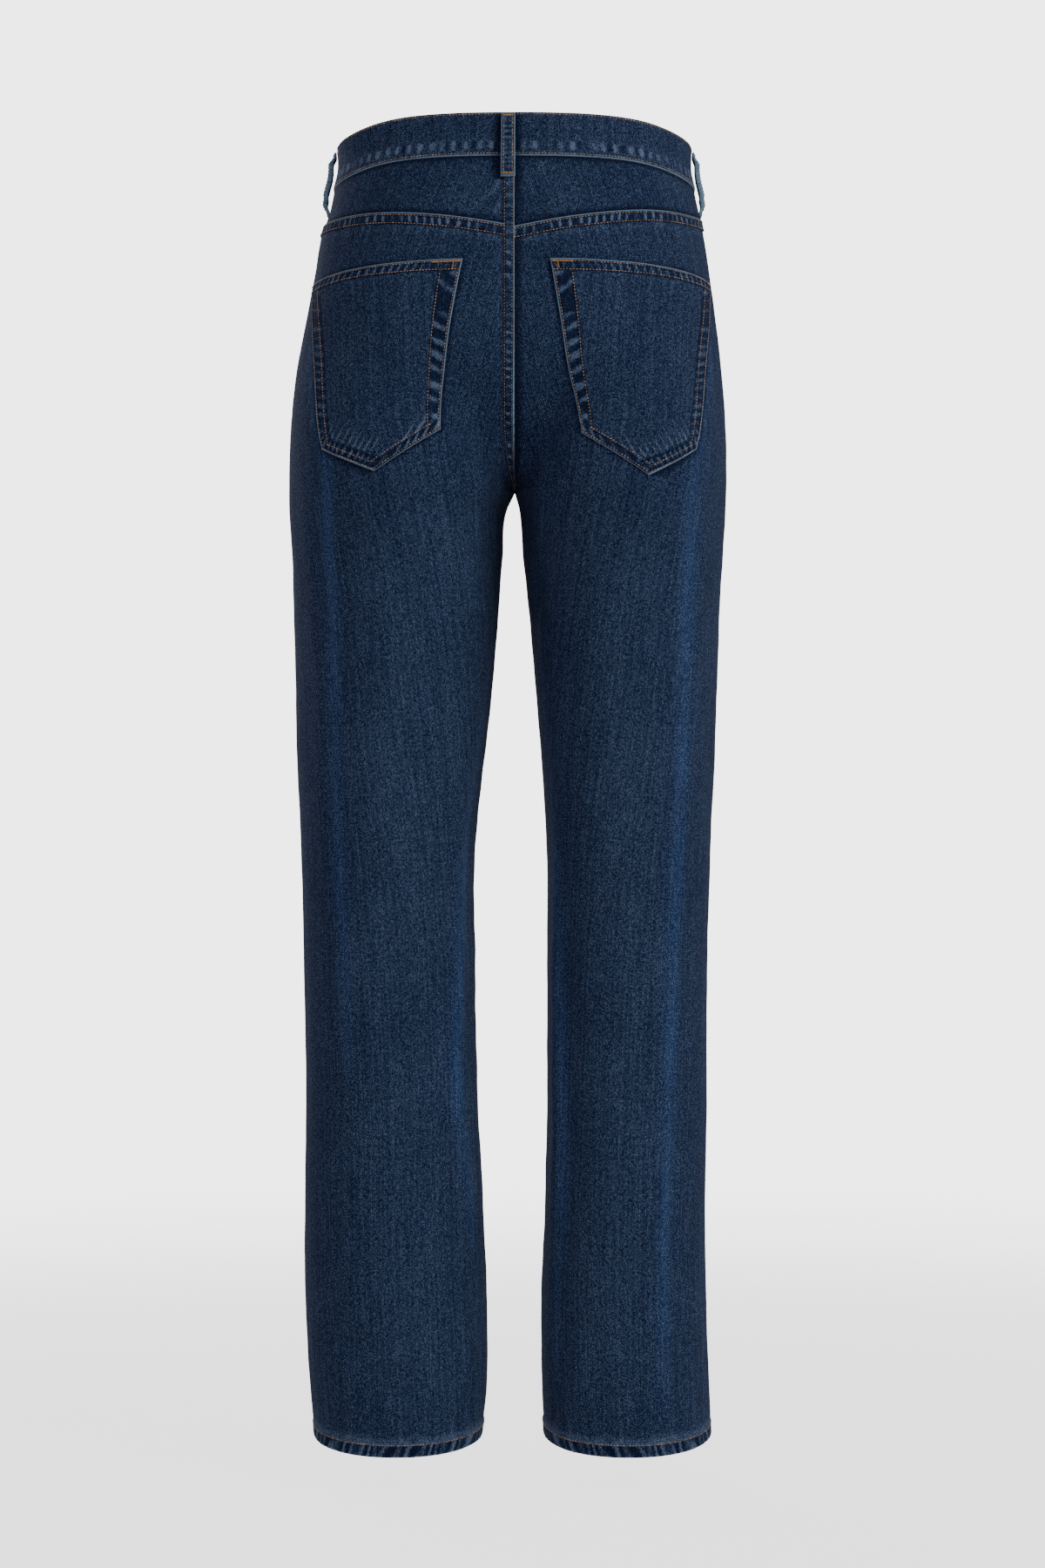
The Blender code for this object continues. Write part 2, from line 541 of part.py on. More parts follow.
def belt_loop(loop):
    """Belt loop: a narrow strip tacked over the waistband, bowed out between its ends."""
    levels = loop.top + (loop.bottom - loop.top) * np.array(LOOP_ROWS)
    centre = place_on_ring(loop, 0.0)
    grids = []
    for extra in (LOOP_CLOTH, 0.0):
        rows = []
        for level in levels:
            height = loop_profile(level, loop) + extra
            rows.append([waist_point(centre + offset, level, height) for offset in loop_offsets(loop)])
        grids.append(np.array(rows))
    return wall(loop.name, grids[0], grids[1], "denim")


def place_on_ring(loop, level):
    """Ring position of a loop's centre line."""
    ahead = turns_at(loop.side, level, np.array((abs(loop.shift),)), from_back=loop.turn > 0.5)[0]
    turn = ahead if loop.shift else loop.turn
    return turn / 2.0 if loop.side == "left" else 1.0 - turn / 2.0


def loop_offsets(loop):
    """Ring steps from a loop's centre line to its columns."""
    centre = place_on_ring(loop, 0.0)
    step = 0.001
    gap = waist_point(centre + step, 0.0, 0.0) - waist_point(centre - step, 0.0, 0.0)
    per_metre = 2.0 * step / float(np.linalg.norm(gap))
    return np.array((-0.5, 0.0, 0.5)) * LOOP_WIDTH * per_metre


def button():
    """Waist button: a shallow domed cap with a rim, on a short shank."""
    profile = [(BUTTON_RADIUS * across, BUTTON_HEIGHT * up) for across, up in BUTTON_PROFILE]
    profile += [(BUTTON_SHANK, BUTTON_HEIGHT * BUTTON_NECK), (BUTTON_SHANK, 0.0), (0.0, 0.0)]
    mesh = bmesh.new()
    verts = [mesh.verts.new((x, 0.0, z)) for x, z in profile]
    for first, second in zip(verts, verts[1:]):
        mesh.edges.new((first, second))
    piece = add("button", mesh, "brass")
    turned = piece.modifiers.new("turned", "SCREW")
    turned.steps = turned.render_steps = BUTTON_STEPS
    turned.use_merge_vertices = True
    turned.merge_threshold = 0.00002
    turned.use_normal_calculate = True
    level = (BAND_TOP + WAIST_SEAM) / 2.0
    normal = Vector(outward("left", np.array(0.0), np.array(level)))
    seat = Vector(waist_point(0.0, level, BAND_PROUD + SEAM))
    piece.rotation_mode = "QUATERNION"
    piece.rotation_quaternion = Vector((0.0, 0.0, 1.0)).rotation_difference(normal)
    piece.location = seat
    return piece


def main():
    """Clear the scene and model every piece."""
    for old in list(bpy.data.objects):
        bpy.data.objects.remove(old, do_unlink=True)
    jeans = bpy.data.collections.new("straight_leg_jeans")
    bpy.context.scene.collection.children.link(jeans)
    for side in WIDTHS:
        front_leg(side)
        back_leg(side)
        yoke(side)
        pocket_facing(side)
        back_pocket(side)
    waistband()
    for loop in LOOPS:
        belt_loop(loop)
    button()


main()
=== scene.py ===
"""Straight leg jeans in stone-washed indigo denim, with their topstitching and button.

Metres, +Z up, the back of the jeans towards +Y and the wearer's left towards +X. Every cloth
piece is a thin shell over one form. A place on it is a side (left or right), a turn (0 at the
centre front or inseam, 0.5 at the side, 1 at the centre back) and a level (the height before
the waist and hems are tilted).
"""

import math
from collections import namedtuple

import bmesh
import bpy
import numpy as np
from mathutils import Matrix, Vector


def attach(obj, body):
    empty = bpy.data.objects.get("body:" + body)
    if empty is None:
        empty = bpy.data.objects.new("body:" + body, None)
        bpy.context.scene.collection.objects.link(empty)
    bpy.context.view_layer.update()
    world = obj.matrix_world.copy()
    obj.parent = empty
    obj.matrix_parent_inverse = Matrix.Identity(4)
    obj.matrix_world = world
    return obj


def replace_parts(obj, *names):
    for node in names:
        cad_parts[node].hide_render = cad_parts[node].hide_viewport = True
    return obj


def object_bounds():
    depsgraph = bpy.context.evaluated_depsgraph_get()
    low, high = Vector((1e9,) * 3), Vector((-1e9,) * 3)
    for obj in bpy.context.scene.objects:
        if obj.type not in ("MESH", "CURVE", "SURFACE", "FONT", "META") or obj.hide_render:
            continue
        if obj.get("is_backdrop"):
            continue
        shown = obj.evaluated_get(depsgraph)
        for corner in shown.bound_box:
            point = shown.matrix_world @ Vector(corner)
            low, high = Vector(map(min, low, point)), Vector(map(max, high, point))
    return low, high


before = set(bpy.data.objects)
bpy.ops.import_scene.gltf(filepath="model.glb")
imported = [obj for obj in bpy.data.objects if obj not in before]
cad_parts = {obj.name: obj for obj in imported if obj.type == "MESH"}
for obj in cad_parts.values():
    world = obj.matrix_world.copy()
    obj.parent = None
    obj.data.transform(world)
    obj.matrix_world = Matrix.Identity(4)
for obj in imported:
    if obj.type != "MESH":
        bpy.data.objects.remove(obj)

bl_info = {
    "name": "Straight Leg Jeans",
    "version": (1, 0, 0),
    "blender": (4, 5, 0),
    "location": "3D View > Sidebar > Jeans",
    "description": "Makes a pair of straight leg jeans: denim panels, topstitching and button",
    "category": "Object",
}

ROOT = "root"

# ---------------- the cut

# Heights, as levels
BAND_TOP, WAIST_SEAM, CROTCH, HEM = 0.0150, -0.0205, -0.2700, -1.0515
WAIST_TILT, WAIST_TILT_FROM, WAIST_TILT_TO = 0.0130, -0.150, -0.030
WAIST_DIP, WAIST_DIP_TURN, WAIST_DIP_REACH = 0.0035, 0.62, 0.09
HEM_TILT, HEM_TILT_FROM, HEM_TILT_TO = 0.0100, -0.850, -1.030
FORK_HEIGHT_FRONT, FORK_HEIGHT_BACK, FORK_REACH = 0.105, 0.135, 0.24
SIDE_TURN = 0.49
SCOOP_WIDTH, SCOOP_DEPTH, FACING_MARGIN, SEAM_ALLOWANCE = 0.098, 0.078, 0.018, 0.008
BAND_PROUD, BAND_THICK, LAP_OVER, LAP_UNDER, LAP_RAMP = 0.0008, 0.0024, 0.018, 0.030, 0.045

Widths = namedtuple("Widths", "level outer_left inner_left outer_right inner_right")
Depths = namedtuple("Depths", "level front back square")
Fold = namedtuple("Fold", "side turn_a level_a turn_b level_b height width")
Fade = namedtuple("Fade", "side turn_a level_a turn_b level_b strength width")
Pocket = namedtuple("Pocket", "side corner away level")
Loop = namedtuple("Loop", "name side turn shift top bottom bow")
SIDES = ("left", "right")


def by_side(kind, left, right):
    """Rows of a table, each with its side put first."""
    return tuple(kind(side, *row) for side, rows in zip(SIDES, (left, right)) for row in rows)


WIDTHS = (
    Widths(0.030, 0.1482, 0.0, 0.1470, 0.0), Widths(-0.008, 0.1465, 0.0, 0.1462, 0.0),
    Widths(-0.022, 0.1500, 0.0, 0.1494, 0.0), Widths(-0.041, 0.1540, 0.0, 0.1535, 0.0),
    Widths(-0.062, 0.1612, 0.0, 0.1576, 0.0), Widths(-0.091, 0.1657, 0.0, 0.1620, 0.0),
    Widths(-0.120, 0.1714, 0.0, 0.1660, 0.0), Widths(-0.163, 0.1800, 0.0, 0.1710, 0.0),
    Widths(-0.222, 0.1864, 0.0, 0.1754, 0.0), Widths(-0.270, 0.1874, 0.0, 0.1758, 0.0),
    Widths(-0.282, 0.1872, 0.0058, 0.1753, 0.0034), Widths(-0.323, 0.1850, 0.0102, 0.1730, 0.0073),
    Widths(-0.381, 0.1832, 0.0145, 0.1700, 0.0131), Widths(-0.440, 0.1820, 0.0196, 0.1683, 0.0176),
    Widths(-0.498, 0.1806, 0.0261, 0.1658, 0.0225), Widths(-0.556, 0.1776, 0.0322, 0.1629, 0.0261),
    Widths(-0.672, 0.1750, 0.0327, 0.1602, 0.0269), Widths(-0.774, 0.1736, 0.0305, 0.1595, 0.0269),
    Widths(-0.861, 0.1744, 0.0261, 0.1582, 0.0254), Widths(-0.948, 0.1738, 0.0226, 0.1598, 0.0225),
    Widths(-1.020, 0.1694, 0.0238, 0.1620, 0.0232), Widths(-1.060, 0.1662, 0.0290, 0.1634, 0.0250),
)

DEPTHS = (
    Depths(0.030, 0.1030, 0.1080, 2.55), Depths(-0.016, 0.1060, 0.1110, 2.55),
    Depths(-0.060, 0.1100, 0.1190, 2.60), Depths(-0.120, 0.1140, 0.1270, 2.80),
    Depths(-0.180, 0.1150, 0.1310, 2.80), Depths(-0.230, 0.1140, 0.1290, 2.60),
    Depths(-0.270, 0.1120, 0.1220, 2.30), Depths(-0.330, 0.1060, 0.1100, 2.25),
    Depths(-0.400, 0.0980, 0.0990, 2.20), Depths(-0.500, 0.0880, 0.0870, 2.20),
    Depths(-0.600, 0.0800, 0.0780, 2.20), Depths(-0.700, 0.0740, 0.0720, 2.20),
    Depths(-0.800, 0.0700, 0.0690, 2.20), Depths(-0.950, 0.0660, 0.0670, 2.20),
    Depths(-1.060, 0.0640, 0.0660, 2.15),
)

# The largest folds, as in the solids: ridges (height above 0) and troughs along straight lines
FOLDS = by_side(Fold, left=(
    (0.625, -0.230, 0.645, -0.640, 0.0018, 0.007),
    (0.885, -0.420, 0.900, -0.860, 0.0026, 0.011),
    (0.835, -0.500, 0.855, -0.930, -0.0022, 0.016),
    (0.760, -0.270, 0.960, -0.350, -0.0030, 0.016),
    (0.700, -0.620, 0.860, -0.700, -0.0022, 0.018),
    (0.560, -0.930, 0.740, -0.985, -0.0024, 0.018),
    (0.120, -0.265, 0.350, -0.215, 0.0026, 0.012),
    (0.110, -0.300, 0.340, -0.275, -0.0028, 0.013),
    (0.150, -0.560, 0.390, -0.590, 0.0024, 0.014),
    (0.360, -0.260, 0.340, -0.700, 0.0018, 0.010),
), right=(
    (0.635, -0.250, 0.690, -1.020, 0.0020, 0.007),
    (0.905, -0.520, 0.915, -0.960, 0.0034, 0.010),
    (0.868, -0.560, 0.874, -0.930, -0.0026, 0.012),
    (0.745, -0.440, 0.790, -0.540, -0.0028, 0.014),
    (0.800, -0.290, 0.960, -0.400, -0.0032, 0.018),
    (0.830, -0.960, 0.900, -1.050, 0.0026, 0.016),
    (0.130, -0.260, 0.360, -0.220, 0.0024, 0.012),
    (0.120, -0.305, 0.330, -0.285, -0.0030, 0.013),
    (0.170, -0.600, 0.400, -0.575, 0.0022, 0.015),
    (0.350, -0.300, 0.330, -0.840, 0.0018, 0.010),
))
FOLD_TURN = 0.52            # metres of cloth that folds and fades count for one turn

# Smaller creases, laid on top of the folds
CREASES = by_side(Fold, left=(
    (0.930, -0.330, 0.800, -0.420, -0.0011, 0.0060),
    (0.950, -0.300, 0.860, -0.370, 0.0009, 0.0050),
    (0.620, -0.560, 0.780, -0.610, -0.0009, 0.0080),
    (0.640, -0.660, 0.820, -0.640, 0.0008, 0.0070),
    (0.740, -0.800, 0.900, -0.850, -0.0008, 0.0090),
    (0.600, -0.985, 0.700, -1.035, 0.0010, 0.0060),
    (0.780, -1.000, 0.880, -1.040, -0.0009, 0.0060),
    (0.080, -0.200, 0.300, -0.165, -0.0010, 0.0060),
    (0.100, -0.240, 0.330, -0.190, 0.0011, 0.0055),
    (0.180, -0.520, 0.360, -0.545, -0.0010, 0.0070),
    (0.150, -0.630, 0.330, -0.610, 0.0009, 0.0070),
    (0.480, -0.140, 0.560, -0.225, -0.0008, 0.0070),
), right=(
    (0.940, -0.320, 0.820, -0.440, -0.0012, 0.0070),
    (0.900, -0.470, 0.780, -0.560, 0.0008, 0.0070),
    (0.700, -0.640, 0.860, -0.610, -0.0010, 0.0080),
    (0.650, -0.720, 0.780, -0.760, 0.0007, 0.0070),
    (0.860, -0.980, 0.930, -1.045, -0.0013, 0.0060),
    (0.600, -0.960, 0.690, -1.040, -0.0010, 0.0070),
    (0.090, -0.205, 0.310, -0.170, -0.0010, 0.0060),
    (0.110, -0.245, 0.340, -0.195, 0.0010, 0.0055),
    (0.190, -0.540, 0.380, -0.520, -0.0009, 0.0070),
    (0.160, -0.620, 0.340, -0.640, 0.0009, 0.0070),
    (0.470, -0.150, 0.550, -0.235, -0.0008, 0.0070),
))

# Hollow down the seat seam
VALLEY_FROM, VALLEY_TO, VALLEY_DEPTH, VALLEY_WIDTH = -0.262, -0.060, 0.0045, 0.034

# Where the indigo has worn paler: short lines on the yokes, and broad areas over thigh and knee
FADES = by_side(Fade, left=(
    (0.915, -0.062, 0.970, -0.040, 0.70, 0.0026),
    (0.945, -0.072, 0.985, -0.050, 0.60, 0.0030),
    (0.760, -0.280, 0.770, -0.720, 0.22, 0.0330),
    (0.760, -0.600, 0.780, -1.040, 0.14, 0.0380),
    (0.250, -0.240, 0.250, -0.760, 0.36, 0.0400),
), right=(
    (0.965, -0.036, 0.925, -0.026, 0.50, 0.0024),
    (0.755, -0.280, 0.775, -0.760, 0.24, 0.0330),
    (0.780, -0.640, 0.780, -1.040, 0.16, 0.0380),
    (0.250, -0.240, 0.250, -0.760, 0.36, 0.0400),
))

# Pressed ridges, where clear blue is painted on as a highlight and the indigo has partly rubbed paler
RIDGES = by_side(Fade, left=(
    (0.600, -0.090, 0.676, -0.250, 0.70, 0.0050),
    (0.670, -0.200, 0.668, -0.460, 0.95, 0.0050),
    (0.668, -0.400, 0.676, -0.760, 0.70, 0.0060),
    (0.950, -0.360, 0.900, -0.600, 0.60, 0.0070),
    (0.906, -0.560, 0.880, -0.790, 0.95, 0.0090),
    (0.880, -0.730, 0.925, -0.900, 0.70, 0.0080),
    (0.360, -0.260, 0.340, -0.700, 0.80, 0.0080),
), right=(
    (0.602, -0.100, 0.672, -0.250, 0.45, 0.0050),
    (0.668, -0.220, 0.668, -0.520, 0.90, 0.0070),
    (0.668, -0.460, 0.675, -0.760, 0.85, 0.0080),
    (0.674, -0.690, 0.680, -1.020, 0.85, 0.0080),
    (0.930, -0.290, 0.904, -0.610, 0.60, 0.0070),
    (0.906, -0.550, 0.886, -0.880, 0.85, 0.0080),
    (0.886, -0.820, 0.905, -1.000, 0.50, 0.0080),
    (0.350, -0.300, 0.330, -0.840, 0.80, 0.0080),
))

YOKE_SEAM = {"left": (-0.0735, -0.0605, -0.0490), "right": (-0.0740, -0.0585, -0.0430)}

# Corners of the back pockets, measured along the cloth from the side seam, and how far the
# middles of the inner and the outer edge bow to the centre
POCKETS = by_side(Pocket, left=(
    ("mouth_inner", 0.2069, -0.0973), ("mouth_outer", 0.0520, -0.1045), ("base_outer", 0.1193, -0.2429),
    ("tip", 0.1638, -0.2617), ("base_inner", 0.2198, -0.2283),
), right=(
    ("mouth_inner", 0.2161, -0.0971), ("mouth_outer", 0.0535, -0.1030), ("base_outer", 0.1173, -0.2428),
    ("tip", 0.1571, -0.2648), ("base_inner", 0.2153, -0.2310),
))
POCKET_BOW = {"left": (-0.0010, 0.0085), "right": (0.0020, 0.0060)}
MOUTH_CROWN = 0.0010

LOOP_WIDTH, LOOP_THICK = 0.0112, 0.0022
LOOP_FULLNESS = 0.0017      # extra thickness of the folded strip where it stands free
LOOPS = (
    Loop("belt_loop_back", "left", 1.0, 0.0050, 0.0140, -0.0380, 0.0048),
    Loop("belt_loop_left", "left", 0.5, 0.0, 0.0140, -0.0400, 0.0056),
    Loop("belt_loop_right", "right", 0.5, 0.0, 0.0140, -0.0400, 0.0048),
    Loop("belt_loop_front_left", "left", 0.0, 0.0560, 0.0140, -0.0400, 0.0066),
    Loop("belt_loop_front_right", "right", 0.0, 0.0560, 0.0140, -0.0400, 0.0066),
)

# Sewing, as distances from the edge that it follows
LAP = 0.0094                # folded lap of a felled seam
NEAR_ROW, FAR_ROW = 0.0019, 0.0080
MOUTH_ROW = 0.0078
POCKET_ROW_TOP, POCKET_ROW_BASE = 0.0160, 0.0088
HEM_ROW = 0.0100
HEM_BAND = 0.0120
FLY_WIDTH, FLY_DEPTH = 0.0380, 0.1500
FLY_ROW_GAP, FLY_CURVE = 0.0062, 1.15      # between the fly's rows; its curve's depth over its width
BAND_ROW = 0.0018           # rows along the waistband
LOOP_ROW, LOOP_TACK = 0.0022, 0.0016       # from a loop's edge to its rows and bartacks
HEM_STITCH, SEAT_THREAD = 0.94, 0.62       # shares of the pitch at the hem, of the thread at the seat
SCOOP_RADIUS = 0.088        # mean of the scoop's width and depth
BEYOND = 0.05               # a distance from which an edge or shadow no longer shows

# Bartacks of the back pockets: both ends as shares of the pocket's width and height, then the height of
# the bartack itself in metres
POCKET_WIDTH = 0.155        # rough, to turn shares of a pocket's width into metres
POCKET_TACKS = {
    "left": (((0.010, 0.014), (0.150, 0.014), 0.0017), ((0.042, 0.016), (0.044, 0.050), 0.0012),
             ((0.930, 0.014), (0.985, 0.014), 0.0016)),
    "right": (((0.010, 0.014), (0.110, 0.014), 0.0017), ((0.034, 0.016), (0.035, 0.050), 0.0012),
              ((0.925, 0.014), (0.985, 0.014), 0.0016)),
}

# Heights of folded layers over the panels
LAP_HEIGHT, CROSSING_HEIGHT, HEM_HEIGHT, FLY_HEIGHT = 0.00100, 0.00075, 0.00100, 0.00085
POCKET_SEAT, POCKET_FULLNESS, MOUTH_FOLD = 0.00125, 0.00110, 0.00070

# Thicknesses of laps, hems, pockets and the doubled mouth of a pocket
LAP_THICK, HEM_THICK, POCKET_THICK, MOUTH_THICK = 0.0009, 0.0010, 0.0009, 0.0015


# ---------------- the form

def arrays(*values):
    """Numbers and arrays as float arrays of one shape."""
    return np.broadcast_arrays(*(np.asarray(value, float) for value in values))


def smooth(value):
    """0 below 0, 1 above 1, and a soft step between."""
    value = np.clip(value, 0.0, 1.0)
    return value * value * (3.0 - 2.0 * value)


def read(table, column, level):
    """A column of a table at any level, on a smooth curve through its rows."""
    rows = sorted(table, key=lambda row: row.level)
    levels = np.array([row.level for row in rows])
    values = np.array([getattr(row, column) for row in rows])
    slopes = np.gradient(values, levels)
    level = np.clip(level, levels[0], levels[-1])
    index = np.clip(np.searchsorted(levels, level) - 1, 0, len(rows) - 2)
    run = levels[index + 1] - levels[index]
    t = (level - levels[index]) / run
    start = (1 + 2 * t) * (1 - t) ** 2 * values[index] + t * (1 - t) ** 2 * run * slopes[index]
    end = t * t * (3 - 2 * t) * values[index + 1] - t * t * (1 - t) * run * slopes[index + 1]
    return start + end


def lines(rows, column, side, turn, level, sharpness=0.8):
    """Sum of soft lines from a table: each row's column, fading to its ends and its sides."""
    total = np.zeros(np.broadcast(turn, level).shape)
    for row in rows:
        if row.side != side:
            continue
        ax, az = row.turn_a * FOLD_TURN, row.level_a
        bx, bz = row.turn_b * FOLD_TURN, row.level_b
        length = math.hypot(bx - ax, bz - az)
        along = ((turn * FOLD_TURN - ax) * (bx - ax) + (level - az) * (bz - az)) / length ** 2
        across = ((turn * FOLD_TURN - ax) * (bz - az) - (level - az) * (bx - ax)) / length
        fade = np.sin(np.pi * np.clip(along, 0.0, 1.0)) ** sharpness
        total = total + getattr(row, column) * fade * bell(across, 0.0, row.width)
    return total


def section(angle, half_width, front, back, square, lift):
    """Point of a squarish oval at an angle: 0 is outwards, 90 degrees is backwards."""
    cos, sin = np.cos(angle), np.sin(angle)
    depth = np.where(sin < 0.0, front, back)
    radius = (np.abs(cos / half_width) ** square + np.abs(sin / depth) ** square) ** (-1.0 / square)
    return (radius + lift) * cos, (radius + lift) * sin


def form(side, turn, level):
    """Outer face of the cloth: points, as an array whose last axis is x, y, z."""
    turn, level = arrays(turn, level)
    outer = read(WIDTHS, "outer_" + side, level)
    inner = read(WIDTHS, "inner_" + side, np.minimum(level, CROTCH))
    front, back = read(DEPTHS, "front", level), read(DEPTHS, "back", level)
    square = read(DEPTHS, "square", level)
    lift = lines(FOLDS, "height", side, turn, level)

    half = (outer - inner) / 2.0
    leg_x, leg_y = section(math.pi + 2.0 * math.pi * turn, half, front, back, square, lift)
    leg_x = leg_x + (outer + inner) / 2.0
    seat_x, seat_y = section(-math.pi / 2.0 + math.pi * turn, outer, front, back, square, lift)

    fork = FORK_HEIGHT_FRONT + (FORK_HEIGHT_BACK - FORK_HEIGHT_FRONT) * turn
    rise = np.clip((level - CROTCH) / fork, 0.0, 1.0)
    centre = smooth(1.0 - np.minimum(turn, 1.0 - turn) / FORK_REACH)
    seat = centre * np.sqrt(1.0 - (1.0 - rise) ** 2) + (1.0 - centre) * smooth(rise)
    x = leg_x + (seat_x - leg_x) * seat
    y = leg_y + (seat_y - leg_y) * seat

    facing_back = np.where(y < 0.0, y / front, y / back)
    waist = smooth((level - WAIST_TILT_FROM) / (WAIST_TILT_TO - WAIST_TILT_FROM))
    hem = smooth((level - HEM_TILT_FROM) / (HEM_TILT_TO - HEM_TILT_FROM))
    dip = WAIST_DIP * bell(turn, WAIST_DIP_TURN, WAIST_DIP_REACH)
    z = level + facing_back * (WAIST_TILT * waist - HEM_TILT * hem) - dip * waist
    sign = 1.0 if side == "left" else -1.0
    return np.stack((sign * x, y, z), axis=-1)


def outward(side, turn, level):
    """Unit normals of the form. At the centre seams they stay in the centre plane."""
    step = 0.002                # of turn and of level
    turn, level = arrays(turn, level)
    is_leg = level <= CROTCH
    low, high = turn - step, turn + step
    low = np.where(is_leg, low, np.maximum(low, 0.0))
    high = np.where(is_leg, high, np.minimum(high, 1.0))
    along = form(side, high, level) - form(side, low, level)
    down = form(side, turn, level - step) - form(side, turn, level + step)
    normal = np.cross(along, down) * (-1.0 if side == "left" else 1.0)
    at_centre = ((turn < 1e-6) | (turn > 1.0 - 1e-6)) & ~is_leg
    normal[..., 0] = np.where(at_centre, 0.0, normal[..., 0])
    return normal / np.linalg.norm(normal, axis=-1, keepdims=True)


def unevenness(points, pitch, seed, count=9):
    """Gentle irregular waves through space, about -1 to 1, the same on pieces that meet."""
    rng = np.random.default_rng(seed)
    waves = rng.normal(size=(count, 3))
    waves *= 2.0 * math.pi / pitch / np.linalg.norm(waves, axis=1, keepdims=True)
    phases = rng.uniform(0.0, 2.0 * math.pi, count)
    return np.sin(points @ waves.T + phases).sum(axis=-1) / math.sqrt(count * 2.0)


def wander(place, seed):
    """Smooth irregular wave along a line, between -1 and 1, with a cell for each unit."""
    values = np.random.default_rng(seed).uniform(-1.0, 1.0, 1024)
    cell = np.floor(place).astype(int)
    share = smooth(place - cell)
    return values[cell % 1024] * (1.0 - share) + values[(cell + 1) % 1024] * share


def gathers(along, pitch, seed):
    """Crests (1) and hollows (-1) at an uneven pitch, of uneven strength."""
    phase = 2.0 * math.pi * along / pitch + 2.2 * wander(along / pitch / 2.6, seed)
    return np.sin(phase) * (0.62 + 0.38 * wander(along / pitch / 1.7, seed + 1))


def between(value, low, high, soft):
    """1 between low and high, falling softly to 0 outside."""
    return smooth((value - low) / soft + 0.5) * smooth((high - value) / soft + 0.5)


def bell(value, centre, width):
    """1 at a centre, falling softly away on both sides."""
    return np.exp(-((value - centre) / width) ** 2)


def rounded(distance, radius):
    """How far a rounded edge falls away at a distance from it."""
    inside = np.clip(radius - distance, 0.0, radius)
    return radius - np.sqrt(radius * radius - inside * inside)


RULER_ROWS, RULER_COLUMNS = 300, 240


class Ruler:
    """Cloth length along each level of one side, from the front seam."""

    def __init__(self, side):
        self.levels = np.linspace(HEM - 0.010, 0.020, RULER_ROWS)
        self.turns = np.linspace(0.0, 1.0, RULER_COLUMNS + 1)
        points = form(side, self.turns[None, :], self.levels[:, None])
        steps = np.linalg.norm(np.diff(points, axis=1), axis=-1)
        self.lengths = np.concatenate((np.zeros((RULER_ROWS, 1)), np.cumsum(steps, axis=1)), axis=1)

    def row(self, level):
        """Lengths at all the sampled turns, at one level."""
        place = (level - self.levels[0]) / (self.levels[1] - self.levels[0])
        index = int(np.clip(math.floor(place), 0, RULER_ROWS - 2))
        share = min(max(place - index, 0.0), 1.0)
        return self.lengths[index] * (1.0 - share) + self.lengths[index + 1] * share

    def length(self, turn, level):
        """Distance from the front seam, of arrays of places."""
        turn, level = arrays(turn, level)
        row = (level - self.levels[0]) / (self.levels[1] - self.levels[0])
        column = turn * RULER_COLUMNS
        r = np.clip(np.floor(row).astype(int), 0, RULER_ROWS - 2)
        c = np.clip(np.floor(column).astype(int), 0, RULER_COLUMNS - 1)
        fr, fc = np.clip(row - r, 0.0, 1.0), np.clip(column - c, 0.0, 1.0)
        low = self.lengths[r, c] * (1 - fc) + self.lengths[r, c + 1] * fc
        high = self.lengths[r + 1, c] * (1 - fc) + self.lengths[r + 1, c + 1] * fc
        return low * (1 - fr) + high * fr

    def turn(self, distance, level):
        """Turns that lie at distances from the front seam."""
        distance, level = arrays(distance, level)
        low, high = np.zeros(distance.shape), np.ones(distance.shape)
        for _ in range(22):
            middle = (low + high) / 2.0
            short = self.length(middle, level) < distance
            low, high = np.where(short, middle, low), np.where(short, high, middle)
        return (low + high) / 2.0

    def flat(self, turn, level):
        """Places as points of the flat cloth: distance from the front seam, and level."""
        return np.stack(np.broadcast_arrays(self.length(turn, level), level), axis=-1)

    def from_back(self, row, away):
        """Turns at distances from the centre back, along a level's row of lengths."""
        return np.interp(row[-1] - away, row, self.turns)

    def back_width(self, row):
        """Cloth from the side seam to the centre back, along a level's row of lengths."""
        return row[-1] - np.interp(SIDE_TURN, self.turns, row)

    def per_metre(self, turn, level):
        """How much turn a metre of cloth is, near a place."""
        step = 0.01
        return 2.0 * step / (self.length(turn + step, level) - self.length(turn - step, level))


RULERS = {side: Ruler(side) for side in SIDES}


def cloth(side, turn, level, lift=0.0):
    """Points on the dressed outer face of the cloth, and the normals there."""
    turn, level = arrays(turn, level)
    points, normal = form(side, turn, level), outward(side, turn, level)
    calm = smooth((WAIST_SEAM - level) / 0.02)
    clear = np.where(level > CROTCH + 0.02, smooth(np.minimum(turn, 1.0 - turn) / 0.05), 1.0)
    extra = lines(CREASES, "height", side, turn, level) * clear - seat_valley(turn, level)
    extra = extra + (0.00042 * unevenness(points, 0.085, 3) + 0.00016 * unevenness(points, 0.031, 4)) * calm
    return points + normal * (extra + lift)[..., None], normal


def seat_valley(turn, level):
    """Depth of the shallow hollow down the seat seam, the same on both sides of it."""
    run = np.clip((level - VALLEY_FROM) / (VALLEY_TO - VALLEY_FROM), 0.0, 1.0)
    return VALLEY_DEPTH * np.sin(math.pi * run) ** 0.8 * bell((1.0 - turn) * FOLD_TURN, 0.0, VALLEY_WIDTH)


def yoke_level(side, turn):
    """Level of the yoke seam, a shallow curve from the side seam to the centre back."""
    centre, middle, edge = YOKE_SEAM[side]
    share = (turn - SIDE_TURN) / (1.0 - SIDE_TURN)
    bow = 4.0 * share * (1.0 - share) * (middle - (centre + edge) / 2.0)
    return edge + (centre - edge) * share + bow


